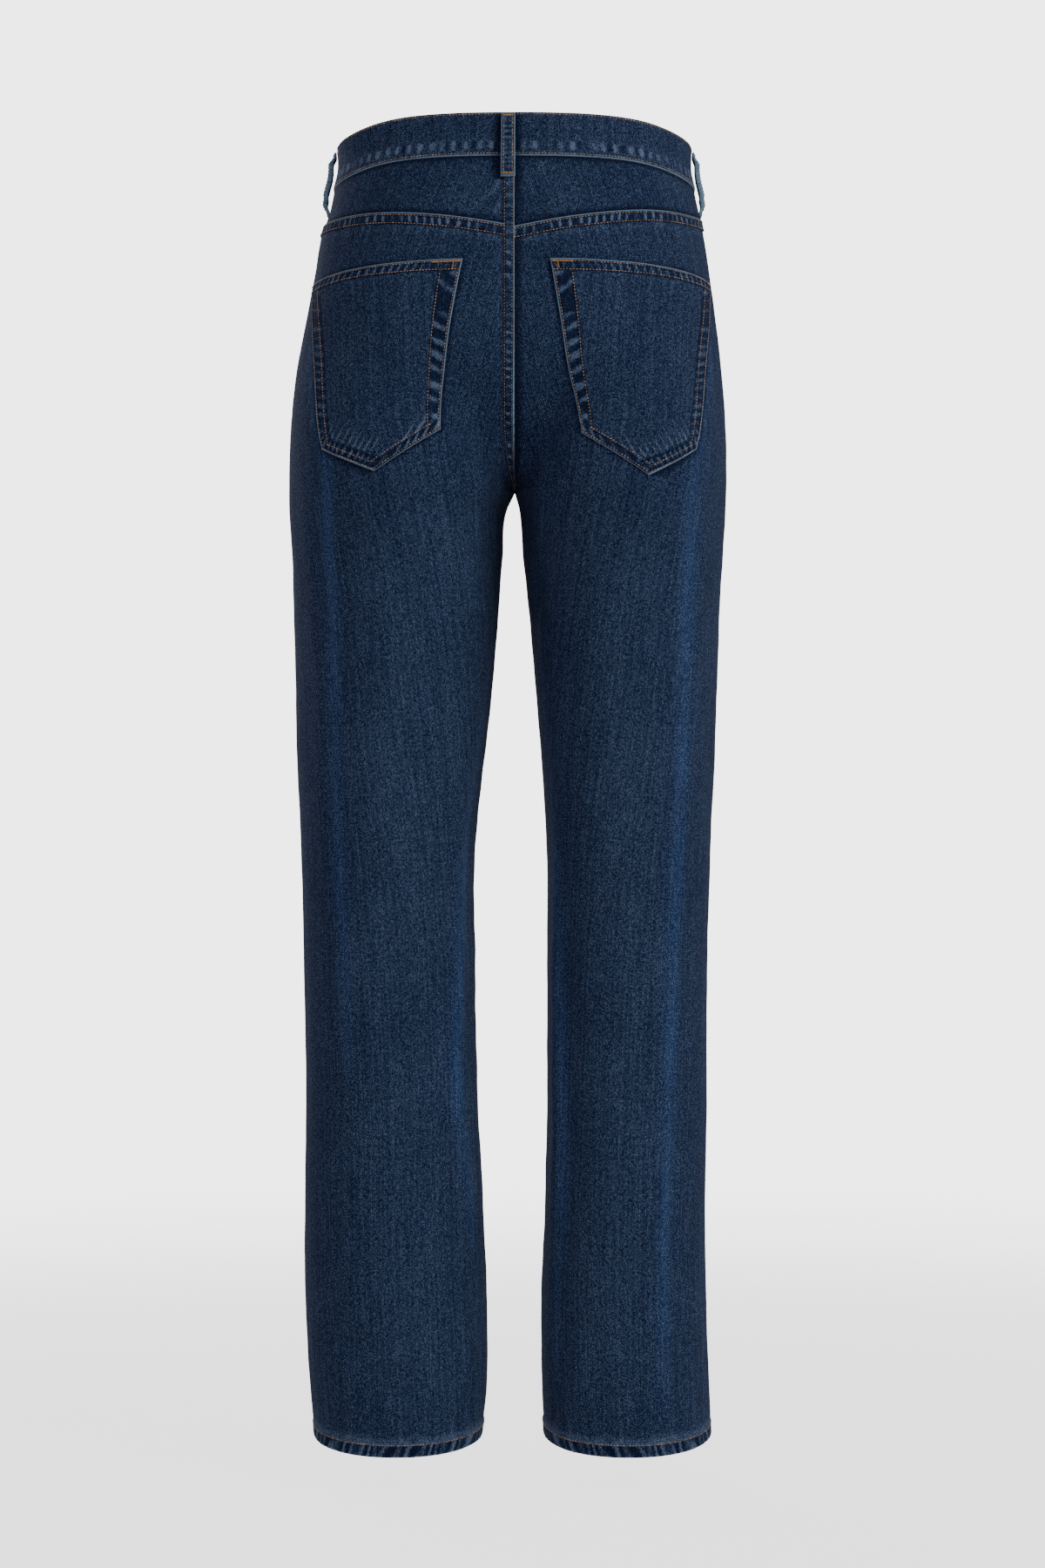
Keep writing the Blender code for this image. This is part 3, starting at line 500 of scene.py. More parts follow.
def side_seam(side, turn, level):
    """Lift and wear near the side seam: a groove, and the ridges of the pressed allowances."""
    per_metre = RULERS[side].per_metre(SIDE_TURN, level)
    away = np.abs(turn - SIDE_TURN) / per_metre
    lift = 0.00045 * between(away, 0.0022, 0.0125, 0.0030) - 0.00060 * bell(away, 0.0, 0.0011)
    wear = bell(away, 0.0115, 0.0016) + 0.6 * bell(away, 0.0030, 0.0014)
    return lift, wear * (0.65 + 0.35 * wander(level / 0.006, 11))


# ---------------- meshes

def spread(width, count, near, far):
    """Distances across a strip: the listed ones from both edges, and even steps between."""
    middle = np.linspace(near[-1], width - far[-1], count)
    return np.concatenate((near[:-1], middle, width - np.array(far[:-1])[::-1]))


def steps_near_edges(width, spacing, near=(0.0, 0.0004, 0.0010, 0.0019, 0.0032)):
    """Distances across a strip: close at its edges and evenly spaced between."""
    count = max(int(round((width - near[-1] - near[-1]) / spacing)), 1)
    return spread(width, count + 1, near, near)


# What the finish reads at a place: distances to a fold, to a lap's flat end (rubbed pale) and to a
# fold that lies over it (in its painted shadow), the height of puckers (-1 to 1, lowered along needle
# lines for painted shade), wear, and painted highlights, partly wear, on pressed ridges
FACT_DEFAULTS = {"edge": BEYOND, "seam": BEYOND, "shadow": BEYOND, "raised": 0.0, "fade": 0.0, "bloom": 0.0}


def show(name, data):
    """An object with this data, in the scene."""
    made = bpy.data.objects.new(name, data)
    bpy.context.scene.collection.objects.link(made)
    return made


def shell(name, outer, inner, facts, closed=False, grain=None, slots=("denim_face", "denim_wrong_side")):
    """Thin closed wall between two grids of points, with the facts its finish reads."""
    rows, columns = outer.shape[:2]
    index = np.arange(rows * columns).reshape(rows, columns)
    if closed:
        index = np.concatenate((index, index[:, :1]), axis=1)
    a, b, c, d = index[:-1, :-1], index[:-1, 1:], index[1:, 1:], index[1:, :-1]
    front = np.stack((a, b, c, d), axis=-1).reshape(-1, 4)
    shift = rows * columns
    back = front[:, ::-1] + shift
    edges = [(index[0, 1:], index[0, :-1]), (index[-1, :-1], index[-1, 1:])]
    if not closed:
        edges += [(index[:-1, 0], index[1:, 0]), (index[1:, -1], index[:-1, -1])]
    rim = [np.stack((p, q, q + shift, p + shift), axis=-1) for p, q in edges]
    quads = np.concatenate([front, back] + rim)
    middle = (rows // 2, columns // 2)
    across = outer[middle[0], middle[1] + 1] - outer[middle]
    down = outer[middle[0] + 1, middle[1]] - outer[middle]
    if np.dot(np.cross(across, down), outer[middle] - inner[middle]) < 0.0:
        quads = quads[:, ::-1]
    points = np.concatenate((outer.reshape(-1, 3), inner.reshape(-1, 3)))
    mesh = bpy.data.meshes.new(name)
    mesh.from_pydata(points.tolist(), [], quads.tolist())
    for slot_name in slots:
        mesh.materials.append(bpy.data.materials[slot_name])
    is_inside = np.zeros(len(quads), np.int32)
    is_inside[len(front):2 * len(front)] = len(slots) - 1
    mesh.polygons.foreach_set("material_index", is_inside)
    for fact in FACT_DEFAULTS:
        grid = np.broadcast_to(facts.get(fact, FACT_DEFAULTS[fact]), (rows, columns))
        layer = mesh.attributes.new(fact, "FLOAT", "POINT")
        layer.data.foreach_set("value", np.tile(grid.reshape(-1), 2).astype(np.float32))
    weave = np.zeros((2, rows, columns, 3), np.float32)
    weave[..., 0], weave[..., 1] = grain if grain is not None else grain_of(outer)
    layer = mesh.attributes.new("weave", "FLOAT_VECTOR", "POINT")
    layer.data.foreach_set("vector", weave.reshape(-1))
    mesh.shade_smooth()
    mesh.validate()
    return show(name, mesh)


def grain_of(outer):
    """Cloth coordinates in metres: across from the middle column, and up."""
    across = np.linalg.norm(np.diff(outer, axis=1), axis=-1)
    across = np.concatenate((np.zeros((len(outer), 1)), np.cumsum(across, axis=1)), axis=1)
    return across - across[:, across.shape[1] // 2:across.shape[1] // 2 + 1], outer[..., 2]


def dress(piece, node, stitches=()):
    """Put a cloth piece and its stitches on the body, in the place of its solid."""
    for item in (piece, *stitches):
        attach(item, ROOT)
    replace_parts(piece, node)


# ---------------- node building

class Wire:
    """One socket of a node tree, for sums written as Python expressions."""

    def __init__(self, maker, socket):
        self.maker, self.socket = maker, socket

    def maths(self, operation, *others, clamp=False):
        values = {str(k): value for k, value in enumerate((self, *others))}
        return self.maker.node("ShaderNodeMath", {"operation": operation, "use_clamp": clamp}, values)

    def __add__(self, other):
        return self.maths("ADD", other)

    def __mul__(self, other):
        return self.maths("MULTIPLY", other)

    def __sub__(self, other):
        return self.maths("SUBTRACT", other)

    def __truediv__(self, other):
        return self.maths("DIVIDE", other)

    def __pow__(self, other):
        return self.maths("POWER", other)

    def __rsub__(self, other):
        return (self * -1.0) + other

    __radd__, __rmul__ = __add__, __mul__

    def step(self, low, high):
        """0 at low and 1 at high, softly."""
        settings = {"interpolation_type": "SMOOTHSTEP"}
        return self.maker.node("ShaderNodeMapRange", settings, {"0": self, "1": low, "2": high})


class Maker:
    """Adds nodes to a tree. Sockets go by name or by number."""

    def __init__(self, tree):
        self.tree = tree

    def node(self, kind, settings=None, sockets=None, output=0):
        made = self.tree.nodes.new(kind)
        for name, value in (settings or {}).items():
            if name == "stops":
                self.set_stops(made.color_ramp.elements, value)
            else:
                setattr(made, name, value)
        for name, value in (sockets or {}).items():
            socket = made.inputs[int(name)] if name.isdigit() else made.inputs[name]
            if isinstance(value, Wire):
                self.tree.links.new(value.socket, socket)
            else:
                socket.default_value = value
        return Wire(self, made.outputs[output])

    @staticmethod
    def set_stops(ramp, stops):
        """Give a colour ramp its stops, in rising order."""
        ramp[0].position, ramp[-1].position = stops[0][0], stops[-1][0]
        for place, _ in stops[1:-1]:
            ramp.new(place)
        for element, (_, colour) in zip(ramp, stops):
            element.color = (*colour, 1.0)

    def mix(self, factor, first, second, blend="MIX"):
        """Colour between two colours."""
        def colour(value):
            return value if isinstance(value, Wire) else (*value, 1.0)
        sockets = {"0": factor, "6": colour(first), "7": colour(second)}
        settings = {"data_type": "RGBA", "blend_type": blend}
        return self.node("ShaderNodeMix", settings, sockets, output=2)

    def noise(self, vector, scale, detail=2.0, roughness=0.5):
        """Noise between 0 and 1 on a vector."""
        sockets = {"Vector": vector, "Scale": scale, "Detail": detail, "Roughness": roughness}
        return self.node("ShaderNodeTexNoise", None, sockets)

    def attribute(self, name):
        """A value kept on the mesh."""
        return self.node("ShaderNodeAttribute", {"attribute_name": name}, output=2)


class Finish(Maker):
    """One material: a Principled shader whose colour, roughness and bump are worked out."""

    def __init__(self, name, roughness, metallic=0.0, sheen=0.0, specular=0.5):
        self.material = bpy.data.materials.new(name)
        self.material.use_nodes = True
        super().__init__(self.material.node_tree)
        self.shader = self.tree.nodes["Principled BSDF"]
        self.shader.inputs["Metallic"].default_value = metallic
        self.shader.inputs["Sheen Weight"].default_value = sheen
        self.shader.inputs["Specular IOR Level"].default_value = specular
        self.feed("Roughness", roughness)

    def feed(self, socket, value):
        if isinstance(value, Wire):
            self.tree.links.new(value.socket, self.shader.inputs[socket])
        else:
            self.shader.inputs[socket].default_value = value

    def weave(self):
        """Cloth coordinates, kept on the mesh."""
        return self.node("ShaderNodeAttribute", {"attribute_name": "weave"}, output=1)

    def place(self):
        """Coordinates of the object itself."""
        return self.node("ShaderNodeTexCoord", output=3)

    def grain(self, weave, across, along, detail):
        """Noise with this many cells a metre across and along the cloth."""
        sockets = {"0": weave, "1": (across, along, 1.0)}
        return self.noise(self.node("ShaderNodeVectorMath", {"operation": "MULTIPLY"}, sockets), 1.0, detail)

    def bump(self, height, distance, strength=1.0):
        settings = {"Strength": strength, "Distance": distance, "Height": height}
        self.feed("Normal", self.node("ShaderNodeBump", None, settings))


# ---------------- finishes

WARP_THREADS, WEFT_THREADS, TWILL_REPEAT = 2600.0, 1820.0, 4.0      # threads a metre; 3 over, 1 under


def denim_finish(colours):
    """Indigo warp over pale weft: twill, slubs and flecks, worn pale on edges and ridges, with painted
    highlights (partly wear) on pressed ridges and painted shade along needle lines and beside folds.
    """
    finish = Finish("denim_face", 0.86, sheen=0.04, specular=0.22)
    weave = finish.weave()
    seam, bloom = finish.attribute("seam"), finish.attribute("bloom")
    raised, fade = finish.attribute("raised"), finish.attribute("fade")
    across, along = (finish.node("ShaderNodeSeparateXYZ", None, {"0": weave}, output=k) for k in (0, 1))
    warp = (across * WARP_THREADS).maths("FLOOR")
    weft = (along * WEFT_THREADS).maths("FLOOR") + warp
    place = finish.node("ShaderNodeCombineXYZ", None, {"0": warp, "1": weft})
    crossing = finish.node("ShaderNodeTexWhiteNoise", None, {"Vector": place}) - 0.5
    thread_tone = finish.node("ShaderNodeTexWhiteNoise", {"noise_dimensions": "1D"}, {"W": warp}) - 0.5
    is_weft = weft.maths("FLOORED_MODULO", TWILL_REPEAT).maths("LESS_THAN", 0.5)
    yarn = (across * (WARP_THREADS * math.pi)).maths("SINE").maths("ABSOLUTE")
    edge, shadow = finish.attribute("edge"), finish.attribute("shadow")
    fleck = finish.grain(weave, 1250.0, 780.0, 1.0) - 0.5
    slub = finish.grain(weave, 640.0, 22.0, 1.0) - 0.5
    streak = finish.grain(weave, 110.0, 9.0, 2.0) - 0.5
    cloud = finish.grain(weave, 17.0, 11.0, 3.0) - 0.5

    fabric = crossing * 1.14 + is_weft * 0.26 + thread_tone * 0.18 + fleck * 0.55 + yarn * 0.10
    fabric = fabric + slub * 0.36 + streak * 0.20 + cloud * 0.20 + 0.237
    ragged = fleck + crossing * 0.6
    rim = (1.0 - (edge + ragged * 0.0012).step(0.0003, 0.0011)) * (crossing * 0.60 + 0.74)
    rim_haze = 1.0 - (edge + ragged * 0.0030).step(0.0005, 0.0055)
    patch = finish.grain(weave, 170.0, 60.0, 1.0).step(0.34, 0.66)
    halo = (1.0 - (seam + ragged * 0.0050).step(0.0004, 0.0080)) * (patch * 0.9 + 0.4)
    dusk = 1.0 - (shadow + ragged * 0.0016).step(0.0000, 0.0052)
    crest = (raised + ragged * 0.45).step(0.05, 1.0)
    # hollow darkens pucker hollows, worn less by the wash, and needle lines, where shade is painted into
    # their grooves
    hollow = (raised * -1.0 + ragged * 0.30).step(0.05, 1.0)
    pale = fabric + fade * 0.40 + bloom * 0.10 + rim_haze * 0.14 + halo * 0.20 + crest * 0.90
    pale = pale - hollow * 0.50 - dusk * 0.34
    colour = finish.node("ShaderNodeValToRGB", {"stops": (
        (0.00, colours.shade), (0.34, colours.indigo), (0.68, colours.washed), (1.0, colours.worn),
    )}, {"0": pale})
    # painted highlight: clear blue added along pressed ridges, partly wear
    colour = finish.mix(bloom, colour, colours.bloom, "ADD")
    colour = finish.mix(rim, colour, colours.edge)
    colour = finish.mix(dusk * 0.50, colour, colours.shade)
    finish.feed("Base Color", colour)
    height = fleck * 0.5 + crossing * 0.3 + yarn * 0.3 - is_weft * 0.2 + slub * 0.25
    finish.bump(height, 0.00020, 0.45)
    return finish.material


def inside_finish(colours):
    """Wrong side of the denim, where the undyed weft shows."""
    finish = Finish("denim_wrong_side", 0.9, sheen=0.1)
    fleck = finish.grain(finish.weave(), 700.0, 300.0, 2.0)
    colour = finish.mix(fleck.step(0.35, 0.65), colours.inside_dark, colours.inside)
    finish.feed("Base Color", colour)
    finish.bump(fleck, 0.0002, 0.5)
    return finish.material


def thread_finish(name, colour):
    """Twisted cotton-wrapped sewing thread, each stitch a little different."""
    finish = Finish(name, 0.62, sheen=0.2)
    shade = finish.attribute("shade")
    place = finish.place()
    fibre = finish.noise(place, 5200.0, 2.0)
    dark = tuple(channel * 0.34 for channel in colour)
    light = tuple(min(channel * 1.5, 1.0) for channel in colour)
    tone = shade * 0.75 + fibre * 0.35
    finish.feed("Base Color", finish.mix(tone.step(0.05, 1.0), dark, light))
    finish.bump(fibre, 0.0001, 0.6)
    return finish.material


def metal_finish():
    """Aged copper-coloured brass of the waist button."""
    finish = Finish("aged_brass", 0.34, metallic=1.0)
    place = finish.place()
    patina = finish.noise(place, 420.0, 4.0, 0.6)
    scratch = finish.noise(place, 2600.0, 2.0)
    colour = finish.mix(patina.step(0.35, 0.7), (0.52, 0.30, 0.14), (0.20, 0.11, 0.055))
    finish.feed("Base Color", colour)
    finish.feed("Roughness", patina * 0.30 + scratch * 0.16 + 0.14)
    finish.bump(scratch * 0.4 + patina * 0.6, 0.00008, 0.4)
    return finish.material


def floor_finish(colour):
    """Pale studio floor that thins out into the background."""
    finish = Finish("studio_floor", 0.8)
    place = finish.place()
    away = finish.node("ShaderNodeVectorMath", {"operation": "LENGTH"}, {"0": place}, output=1)
    grain = finish.noise(place, 60.0, 2.0)
    dusty = tuple(channel * 0.985 for channel in colour)
    finish.feed("Base Color", finish.mix(grain, colour, dusty))
    finish.feed("Alpha", 0.45 - away.step(1.2, 2.6) * 0.45)
    return finish.material


# ---------------- sewing

TACK_PITCH, TACK_THREAD, TACK_POINTS = 0.00042, 0.00062, 12
HOLE_PITCH, HOLE_STITCH, HOLE_THREAD = 0.00045, 0.0026, 0.0005


def stitch_tree():
    """Geometry nodes: thread stitches laid end to end along every line of a mesh."""
    tree = bpy.data.node_groups.new("stitch_rows", "GeometryNodeTree")
    face = tree.interface
    face.new_socket("Lines", in_out="INPUT", socket_type="NodeSocketGeometry")
    for label, value in (("Pitch", 0.003), ("Length", 0.0026), ("Thread", 0.0007), ("Turn", 0.0)):
        face.new_socket(label, in_out="INPUT", socket_type="NodeSocketFloat").default_value = value
    face.new_socket("Seed", in_out="INPUT", socket_type="NodeSocketInt").default_value = 1
    face.new_socket("Finish", in_out="INPUT", socket_type="NodeSocketMaterial")
    face.new_socket("Stitches", in_out="OUTPUT", socket_type="NodeSocketGeometry")
    maker = Maker(tree)
    source = tree.nodes.new("NodeGroupInput")
    given = {socket.name: Wire(maker, socket) for socket in source.outputs}
    curve = maker.node("GeometryNodeMeshToCurve", None, {"0": given["Lines"]})
    sockets = {"Curve": curve, "Length": given["Pitch"]}
    curve = maker.node("GeometryNodeResampleCurve", {"mode": "LENGTH"}, sockets)
    ball = maker.node("GeometryNodeMeshUVSphere", None, {"Segments": 6, "Rings": 4, "Radius": 0.5})
    sizes = {"0": given["Length"], "1": given["Thread"], "2": given["Thread"] * 0.85}
    sizes = maker.node("ShaderNodeCombineXYZ", None, sizes)
    ball = maker.node("GeometryNodeTransform", None, {"Geometry": ball, "Scale": sizes})
    ball = maker.node("GeometryNodeSetShadeSmooth", None, {"Geometry": ball})
    tangent = maker.node("GeometryNodeInputTangent")
    up = maker.node("GeometryNodeInputNamedAttribute", {"data_type": "FLOAT_VECTOR"}, {"Name": "up"})
    turned = maker.node("FunctionNodeAlignRotationToVector", {"axis": "X"}, {"Vector": tangent})
    settings = {"axis": "Z", "pivot_axis": "X"}
    turned = maker.node("FunctionNodeAlignRotationToVector", settings, {"Rotation": turned, "Vector": up})
    about_z = maker.node("ShaderNodeCombineXYZ", None, {"2": given["Turn"]})
    about_z = maker.node("FunctionNodeEulerToRotation", None, {"Euler": about_z})
    settings = {"rotation_space": "LOCAL"}
    turned = maker.node("FunctionNodeRotateRotation", settings, {"Rotation": turned, "Rotate By": about_z})
    sockets = {"Points": curve, "Instance": ball, "Rotation": turned}
    stitches = maker.node("GeometryNodeInstanceOnPoints", None, sockets)
    shade = maker.node("FunctionNodeRandomValue", {"data_type": "FLOAT"}, {"Seed": given["Seed"]}, output=1)
    settings = {"data_type": "FLOAT", "domain": "INSTANCE"}
    sockets = {"Geometry": stitches, "Name": "shade", "Value": shade}
    stitches = maker.node("GeometryNodeStoreNamedAttribute", settings, sockets)
    stitches = maker.node("GeometryNodeRealizeInstances", None, {"0": stitches})
    sockets = {"Geometry": stitches, "Material": given["Finish"]}
    stitches = maker.node("GeometryNodeSetMaterial", None, sockets)
    sink = tree.nodes.new("NodeGroupOutput")
    tree.links.new(stitches.socket, sink.inputs[0])
    return tree


def sew(name, rows, thread="thread", pitch=0.0030, length=0.0027, thick=0.00072, turn=0.0, seed=1):
    """Stitches along rows of (points, normals); a row that ends where it starts is closed."""
    points, normals, edges = [], [], []
    for row_points, row_normals in rows:
        first, count = len(points), len(row_points)
        ring = np.linalg.norm(row_points[0] - row_points[-1]) < 1e-5
        if ring:
            count -= 1
        points += row_points[:count].tolist()
        normals += row_normals[:count].tolist()
        edges += [(first + k, first + k + 1) for k in range(count - 1)]
        if ring:
            edges.append((first + count - 1, first))
    mesh = bpy.data.meshes.new(name + "_rows")
    mesh.from_pydata(points, edges, [])
    up = mesh.attributes.new("up", "FLOAT_VECTOR", "POINT")
    up.data.foreach_set("vector", np.array(normals, np.float32).reshape(-1))
    guide = show(name + "_rows", mesh)
    tree = bpy.data.node_groups.get("stitch_rows") or stitch_tree()
    modifier = guide.modifiers.new("stitches", "NODES")
    modifier.node_group = tree
    values = {"Pitch": pitch, "Length": length, "Thread": thick, "Turn": turn, "Seed": seed}
    values["Finish"] = bpy.data.materials[thread]
    for item in tree.interface.items_tree:
        if item.in_out == "INPUT" and item.name in values:
            modifier[item.identifier] = values[item.name]
    evaluated = guide.evaluated_get(bpy.context.evaluated_depsgraph_get())
    made = bpy.data.meshes.new_from_object(evaluated)
    bpy.data.objects.remove(guide)
    return show(name, made)


def join(name, pieces):
    """Several made pieces as one object."""
    with bpy.context.temp_override(active_object=pieces[0], selected_editable_objects=pieces):
        bpy.ops.object.join()
    pieces[0].name = name
    pieces[0].data.name = name
    return pieces[0]


def bars(name, places, seed=5):
    """Bartacks: (start, end, normal, height) of each, thread laid closely across a short line."""
    made = []
    for k, (start, end, normal, height) in enumerate(places):
        points = np.linspace(start, end, TACK_POINTS)
        rows = [(points, np.tile(normal, (TACK_POINTS, 1)))]
        made.append(sew(f"{name}_{k}", rows, "thread_bright", TACK_PITCH, height, TACK_THREAD, math.pi / 2.0,
                        seed + k))
    return join(name, made)


# ---------------- panels

STITCH_LIFT = 0.00022       # of a row of stitches over the cloth

# Columns of the legs' meshes, and where the ones near the centre and side seams lie
BACK_COLUMNS, FRONT_COLUMNS = 52, 50
CENTRE_STEPS = (0.0, 0.0006, 0.0015, 0.0030)
BACK_SIDE_STEPS = (0.0, 0.0005, 0.0012, 0.0022, 0.0036, 0.0060, 0.0095, 0.0115, 0.0135)
FRONT_SIDE_STEPS = (0.0, 0.0004, 0.0010, 0.0019, 0.0032, 0.0060, 0.0095, 0.0115, 0.0135)


def panel_shell(name, side, turn, level, lift, facts, thick):
    """Shell of a panel whose outer face lies on the form, lifted. Its grain follows the side seam."""
    outer, normal = cloth(side, turn, level, lift)
    ruler = RULERS[side]
    grain = (ruler.length(turn, level) - ruler.length(SIDE_TURN, level), outer[..., 2])
    return shell(name, outer, outer - normal * thick, facts, grain=grain)


def leg_rows(first, spacing):
    """Levels from a first one down to the hem, closer towards the crotch."""
    fork = CROTCH + np.array((0.0070, 0.0045, 0.0027, 0.0014, 0.0006, 0.0001, 0.0))
    seat = np.arange(first, fork[0] + spacing * 0.4, -spacing * 0.75)
    leg = np.arange(CROTCH - spacing * 0.5, HEM + HEM_BAND + 0.002, -spacing)
    hem = HEM + np.array((HEM_BAND + 0.0010, HEM_BAND - 0.002, 0.008, 0.0055, 0.0030, 0.0012, 0.0))
    return np.concatenate((seat, fork, leg, hem))


def leg_facts(side, turn, level):
    """Wear of a leg panel: fades, the side seam's ridges and the halo above the hem; and painted highlights,
    partly wear, on pressed ridges.
    """
    _, seam_wear = side_seam(side, turn, level)
    inseam = np.minimum(turn, 1.0 - turn) / RULERS[side].per_metre(0.02, level)
    inseam = np.where(level < CROTCH + 0.02, inseam, BEYOND)
    fade = lines(FADES, "strength", side, turn, level, 0.6) + 0.42 * seam_wear
    halo = np.where(level > HEM + HEM_ROW, level - HEM - HEM_ROW, BEYOND)
    fade = fade + 0.9 * bell(level - HEM, HEM_ROW, 0.0055) - 0.07 * smooth((level - CROTCH) / 0.05)
    # painted highlights of clear blue along pressed ridges, partly wear
    bloom = lines(RIDGES, "strength", side, turn, level, 0.5)
    return {"fade": fade, "bloom": bloom, "seam": np.minimum(np.minimum(halo, BEYOND), inseam + 0.0012)}


def pocket_corners(side):
    """The corners of a back pocket, by name."""
    return {row.corner: row for row in POCKETS if row.side == side}


def inner_inset(t):
    """Distance of a back pocket's inner row from its side edges; it narrows towards the base."""
    return POCKET_ROW_TOP + (POCKET_ROW_BASE - POCKET_ROW_TOP) * t


def pocket_place(side, s, t):
    """Turn and level on a back pocket: s runs from its inner to its outer edge, t down it."""
    corner = pocket_corners(side)
    inner, outer = corner["mouth_inner"], corner["mouth_outer"]
    base = [corner[key] for key in ("base_inner", "tip", "base_outer")]
    span = [0.0, (base[0].away - base[1].away) / (base[0].away - base[2].away), 1.0]
    mouth_away = inner.away + (outer.away - inner.away) * s
    mouth_level = inner.level + (outer.level - inner.level) * s + MOUTH_CROWN * np.sin(np.pi * s)
    base_away = np.interp(s, span, [row.away for row in base])
    base_level = np.interp(s, span, [row.level for row in base])
    bow_inner, bow_outer = POCKET_BOW[side]
    bow = 4.0 * t * (1.0 - t) * (bow_inner + (bow_outer - bow_inner) * s)
    level = mouth_level + (base_level - mouth_level) * t
    ruler = RULERS[side]
    seam = ruler.length(SIDE_TURN, level)
    return ruler.turn(seam + mouth_away + (base_away - mouth_away) * t + bow, level), level


def outline_gap(side, turn, level):
    """Distance from places on the back to the outline of the back pocket."""
    ruler = RULERS[side]
    s = np.concatenate((np.linspace(0, 1, 24), np.ones(24), np.linspace(1, 0, 24), np.zeros(24)))
    t = np.concatenate((np.zeros(24), np.linspace(0, 1, 24), np.ones(24), np.linspace(1, 0, 24)))
    path_turn, path_level = pocket_place(side, s, t)
    return path_gap(ruler.flat(turn, level), ruler.flat(path_turn, path_level))


def path_gap(places, path):
    """Distance from each place to the nearest point of a path, in the flat cloth."""
    best = np.full(places.shape[:-1], 1.0)
    for start, end in zip(path[:-1], path[1:]):
        along = end - start
        size = float(along @ along)
        if size < 1e-14:
            continue
        share = np.clip(((places - start) @ along) / size, 0.0, 1.0)
        gap = np.linalg.norm(places - (start + share[..., None] * along), axis=-1)
        best = np.minimum(best, gap)
    return best


def back_panel(side, spacing, thick):
    """Back leg from the yoke seam to the hem, its side seam pressed open."""
    ruler = RULERS[side]
    nominal = leg_rows(-0.100, spacing)
    offsets = np.array((0.0, 0.0006, 0.0014, 0.0030, 0.0060, 0.0094, 0.0120))
    rows_turn, rows_level = [], []
    for level in np.concatenate((np.full(len(offsets), YOKE_SEAM[side][1]), (-0.080, -0.090), nominal)):
        row = ruler.row(level)
        width = ruler.back_width(row)
        across = spread(width, BACK_COLUMNS, CENTRE_STEPS, BACK_SIDE_STEPS)
        rows_turn.append(ruler.from_back(row, across))
        rows_level.append(np.full(across.shape, level))
    turn, level = np.array(rows_turn), np.array(rows_level)
    seam = yoke_level(side, turn[0])
    for k, offset in enumerate(offsets):
        level[k] = seam - offset
    first, last = level[len(offsets) - 1], nominal[0]
    level[len(offsets)] = first + (last - first) * 0.34
    level[len(offsets) + 1] = first + (last - first) * 0.67
    lift, _ = side_seam(side, turn, level)
    facts = leg_facts(side, turn, level)
    from_yoke = yoke_level(side, turn) - level
    bring_near(facts, "seam", np.where(from_yoke > LAP, from_yoke - LAP, BEYOND))
    facts["shadow"] = outline_gap(side, turn, level)
    centre = ruler.length(1.0, level) - ruler.length(turn, level)
    beside_seat(side, facts, np.where(level > CROTCH, centre, BEYOND))
    return panel_shell(f"cloth_back_{side}", side, turn, level, lift, facts, thick)


def bring_near(facts, key, distance):
    """Lower a distance among the facts to another where that is less."""
    facts[key] = np.minimum(facts[key], distance)


def beside_seat(side, facts, centre):
    """The seat seam's marks at distances from it: its lap's halo on the left, its shadow on the right."""
    if side == "left":
        bring_near(facts, "seam", np.where(centre > LAP, centre - LAP, BEYOND))
    else:
        bring_near(facts, "shadow", centre * 0.55)


def front_edge(level):
    """Distance from the side seam to the front leg's outer edge: the scoop, then nothing."""
    down = np.clip((WAIST_SEAM - level) / SCOOP_DEPTH, 0.0, 1.0)
    return SCOOP_WIDTH * np.sqrt(1.0 - down ** 2)


def front_panel(side, spacing, thick):
    """Front leg with the scoop of the pocket; the left one carries the fly."""
    ruler = RULERS[side]
    angles = np.linspace(0.0, math.pi / 2.0, 34)
    scoop = WAIST_SEAM - SCOOP_DEPTH * np.sin(angles)
    nominal = np.concatenate((scoop, leg_rows(scoop[-1] - spacing * 0.6, spacing)))
    rows_turn = []
    for level in nominal:
        row = ruler.row(level)
        width = np.interp(SIDE_TURN, ruler.turns, row) - front_edge(level)
        across = spread(width, FRONT_COLUMNS, CENTRE_STEPS, FRONT_SIDE_STEPS)
        rows_turn.append(np.interp(across, row, ruler.turns))
    turn = np.array(rows_turn)
    level = np.broadcast_to(nominal[:, None], turn.shape)
    scoop_gap = scoop_distance(side, turn, level)
    in_scoop = level > scoop[-1] - 0.002
    lift, _ = side_seam(side, turn, level)
    lift = np.where(in_scoop, 0.0, lift) - rounded(scoop_gap, 0.0006)
    puckers = blots(gathers(scoop_path_place(side, turn, level), 0.0068, 31))
    band = between(scoop_gap, NEAR_ROW, FAR_ROW, 0.0012)
    facts = leg_facts(side, turn, level)
    facts["edge"] = np.where(in_scoop | (scoop_gap < 0.002), scoop_gap, BEYOND)
    facts["raised"] = puckers * band
    facts["shadow"] = np.maximum(WAIST_SEAM - level, 0.0)
    lift = lift + 0.00018 * puckers * band
    if side == "left":
        fly_lift, fly_edge = fly(side, turn, level)
        lift = lift + fly_lift
        bring_near(facts, "edge", fly_edge)
    return panel_shell(f"cloth_front_{side}", side, turn, level, lift, facts, thick)


def scoop_path(side, offset=0.0, count=60):
    """Turns and levels along the scoop, moved into the front leg by an offset."""
    ruler = RULERS[side]
    angles = np.linspace(0.0, math.pi / 2.0, count)
    width, depth = SCOOP_WIDTH + offset, SCOOP_DEPTH + offset
    level = WAIST_SEAM - depth * np.sin(angles)
    seam = ruler.length(SIDE_TURN, level)
    return ruler.turn(seam - width * np.cos(angles), level), level


def scoop_distance(side, turn, level):
    """Distance from places on the front leg to the scoop's edge."""
    ruler = RULERS[side]
    near = level > WAIST_SEAM - SCOOP_DEPTH - 0.03
    gap = np.full(turn.shape, BEYOND)
    gap[near] = path_gap(ruler.flat(turn, level)[near], ruler.flat(*scoop_path(side)))
    return gap


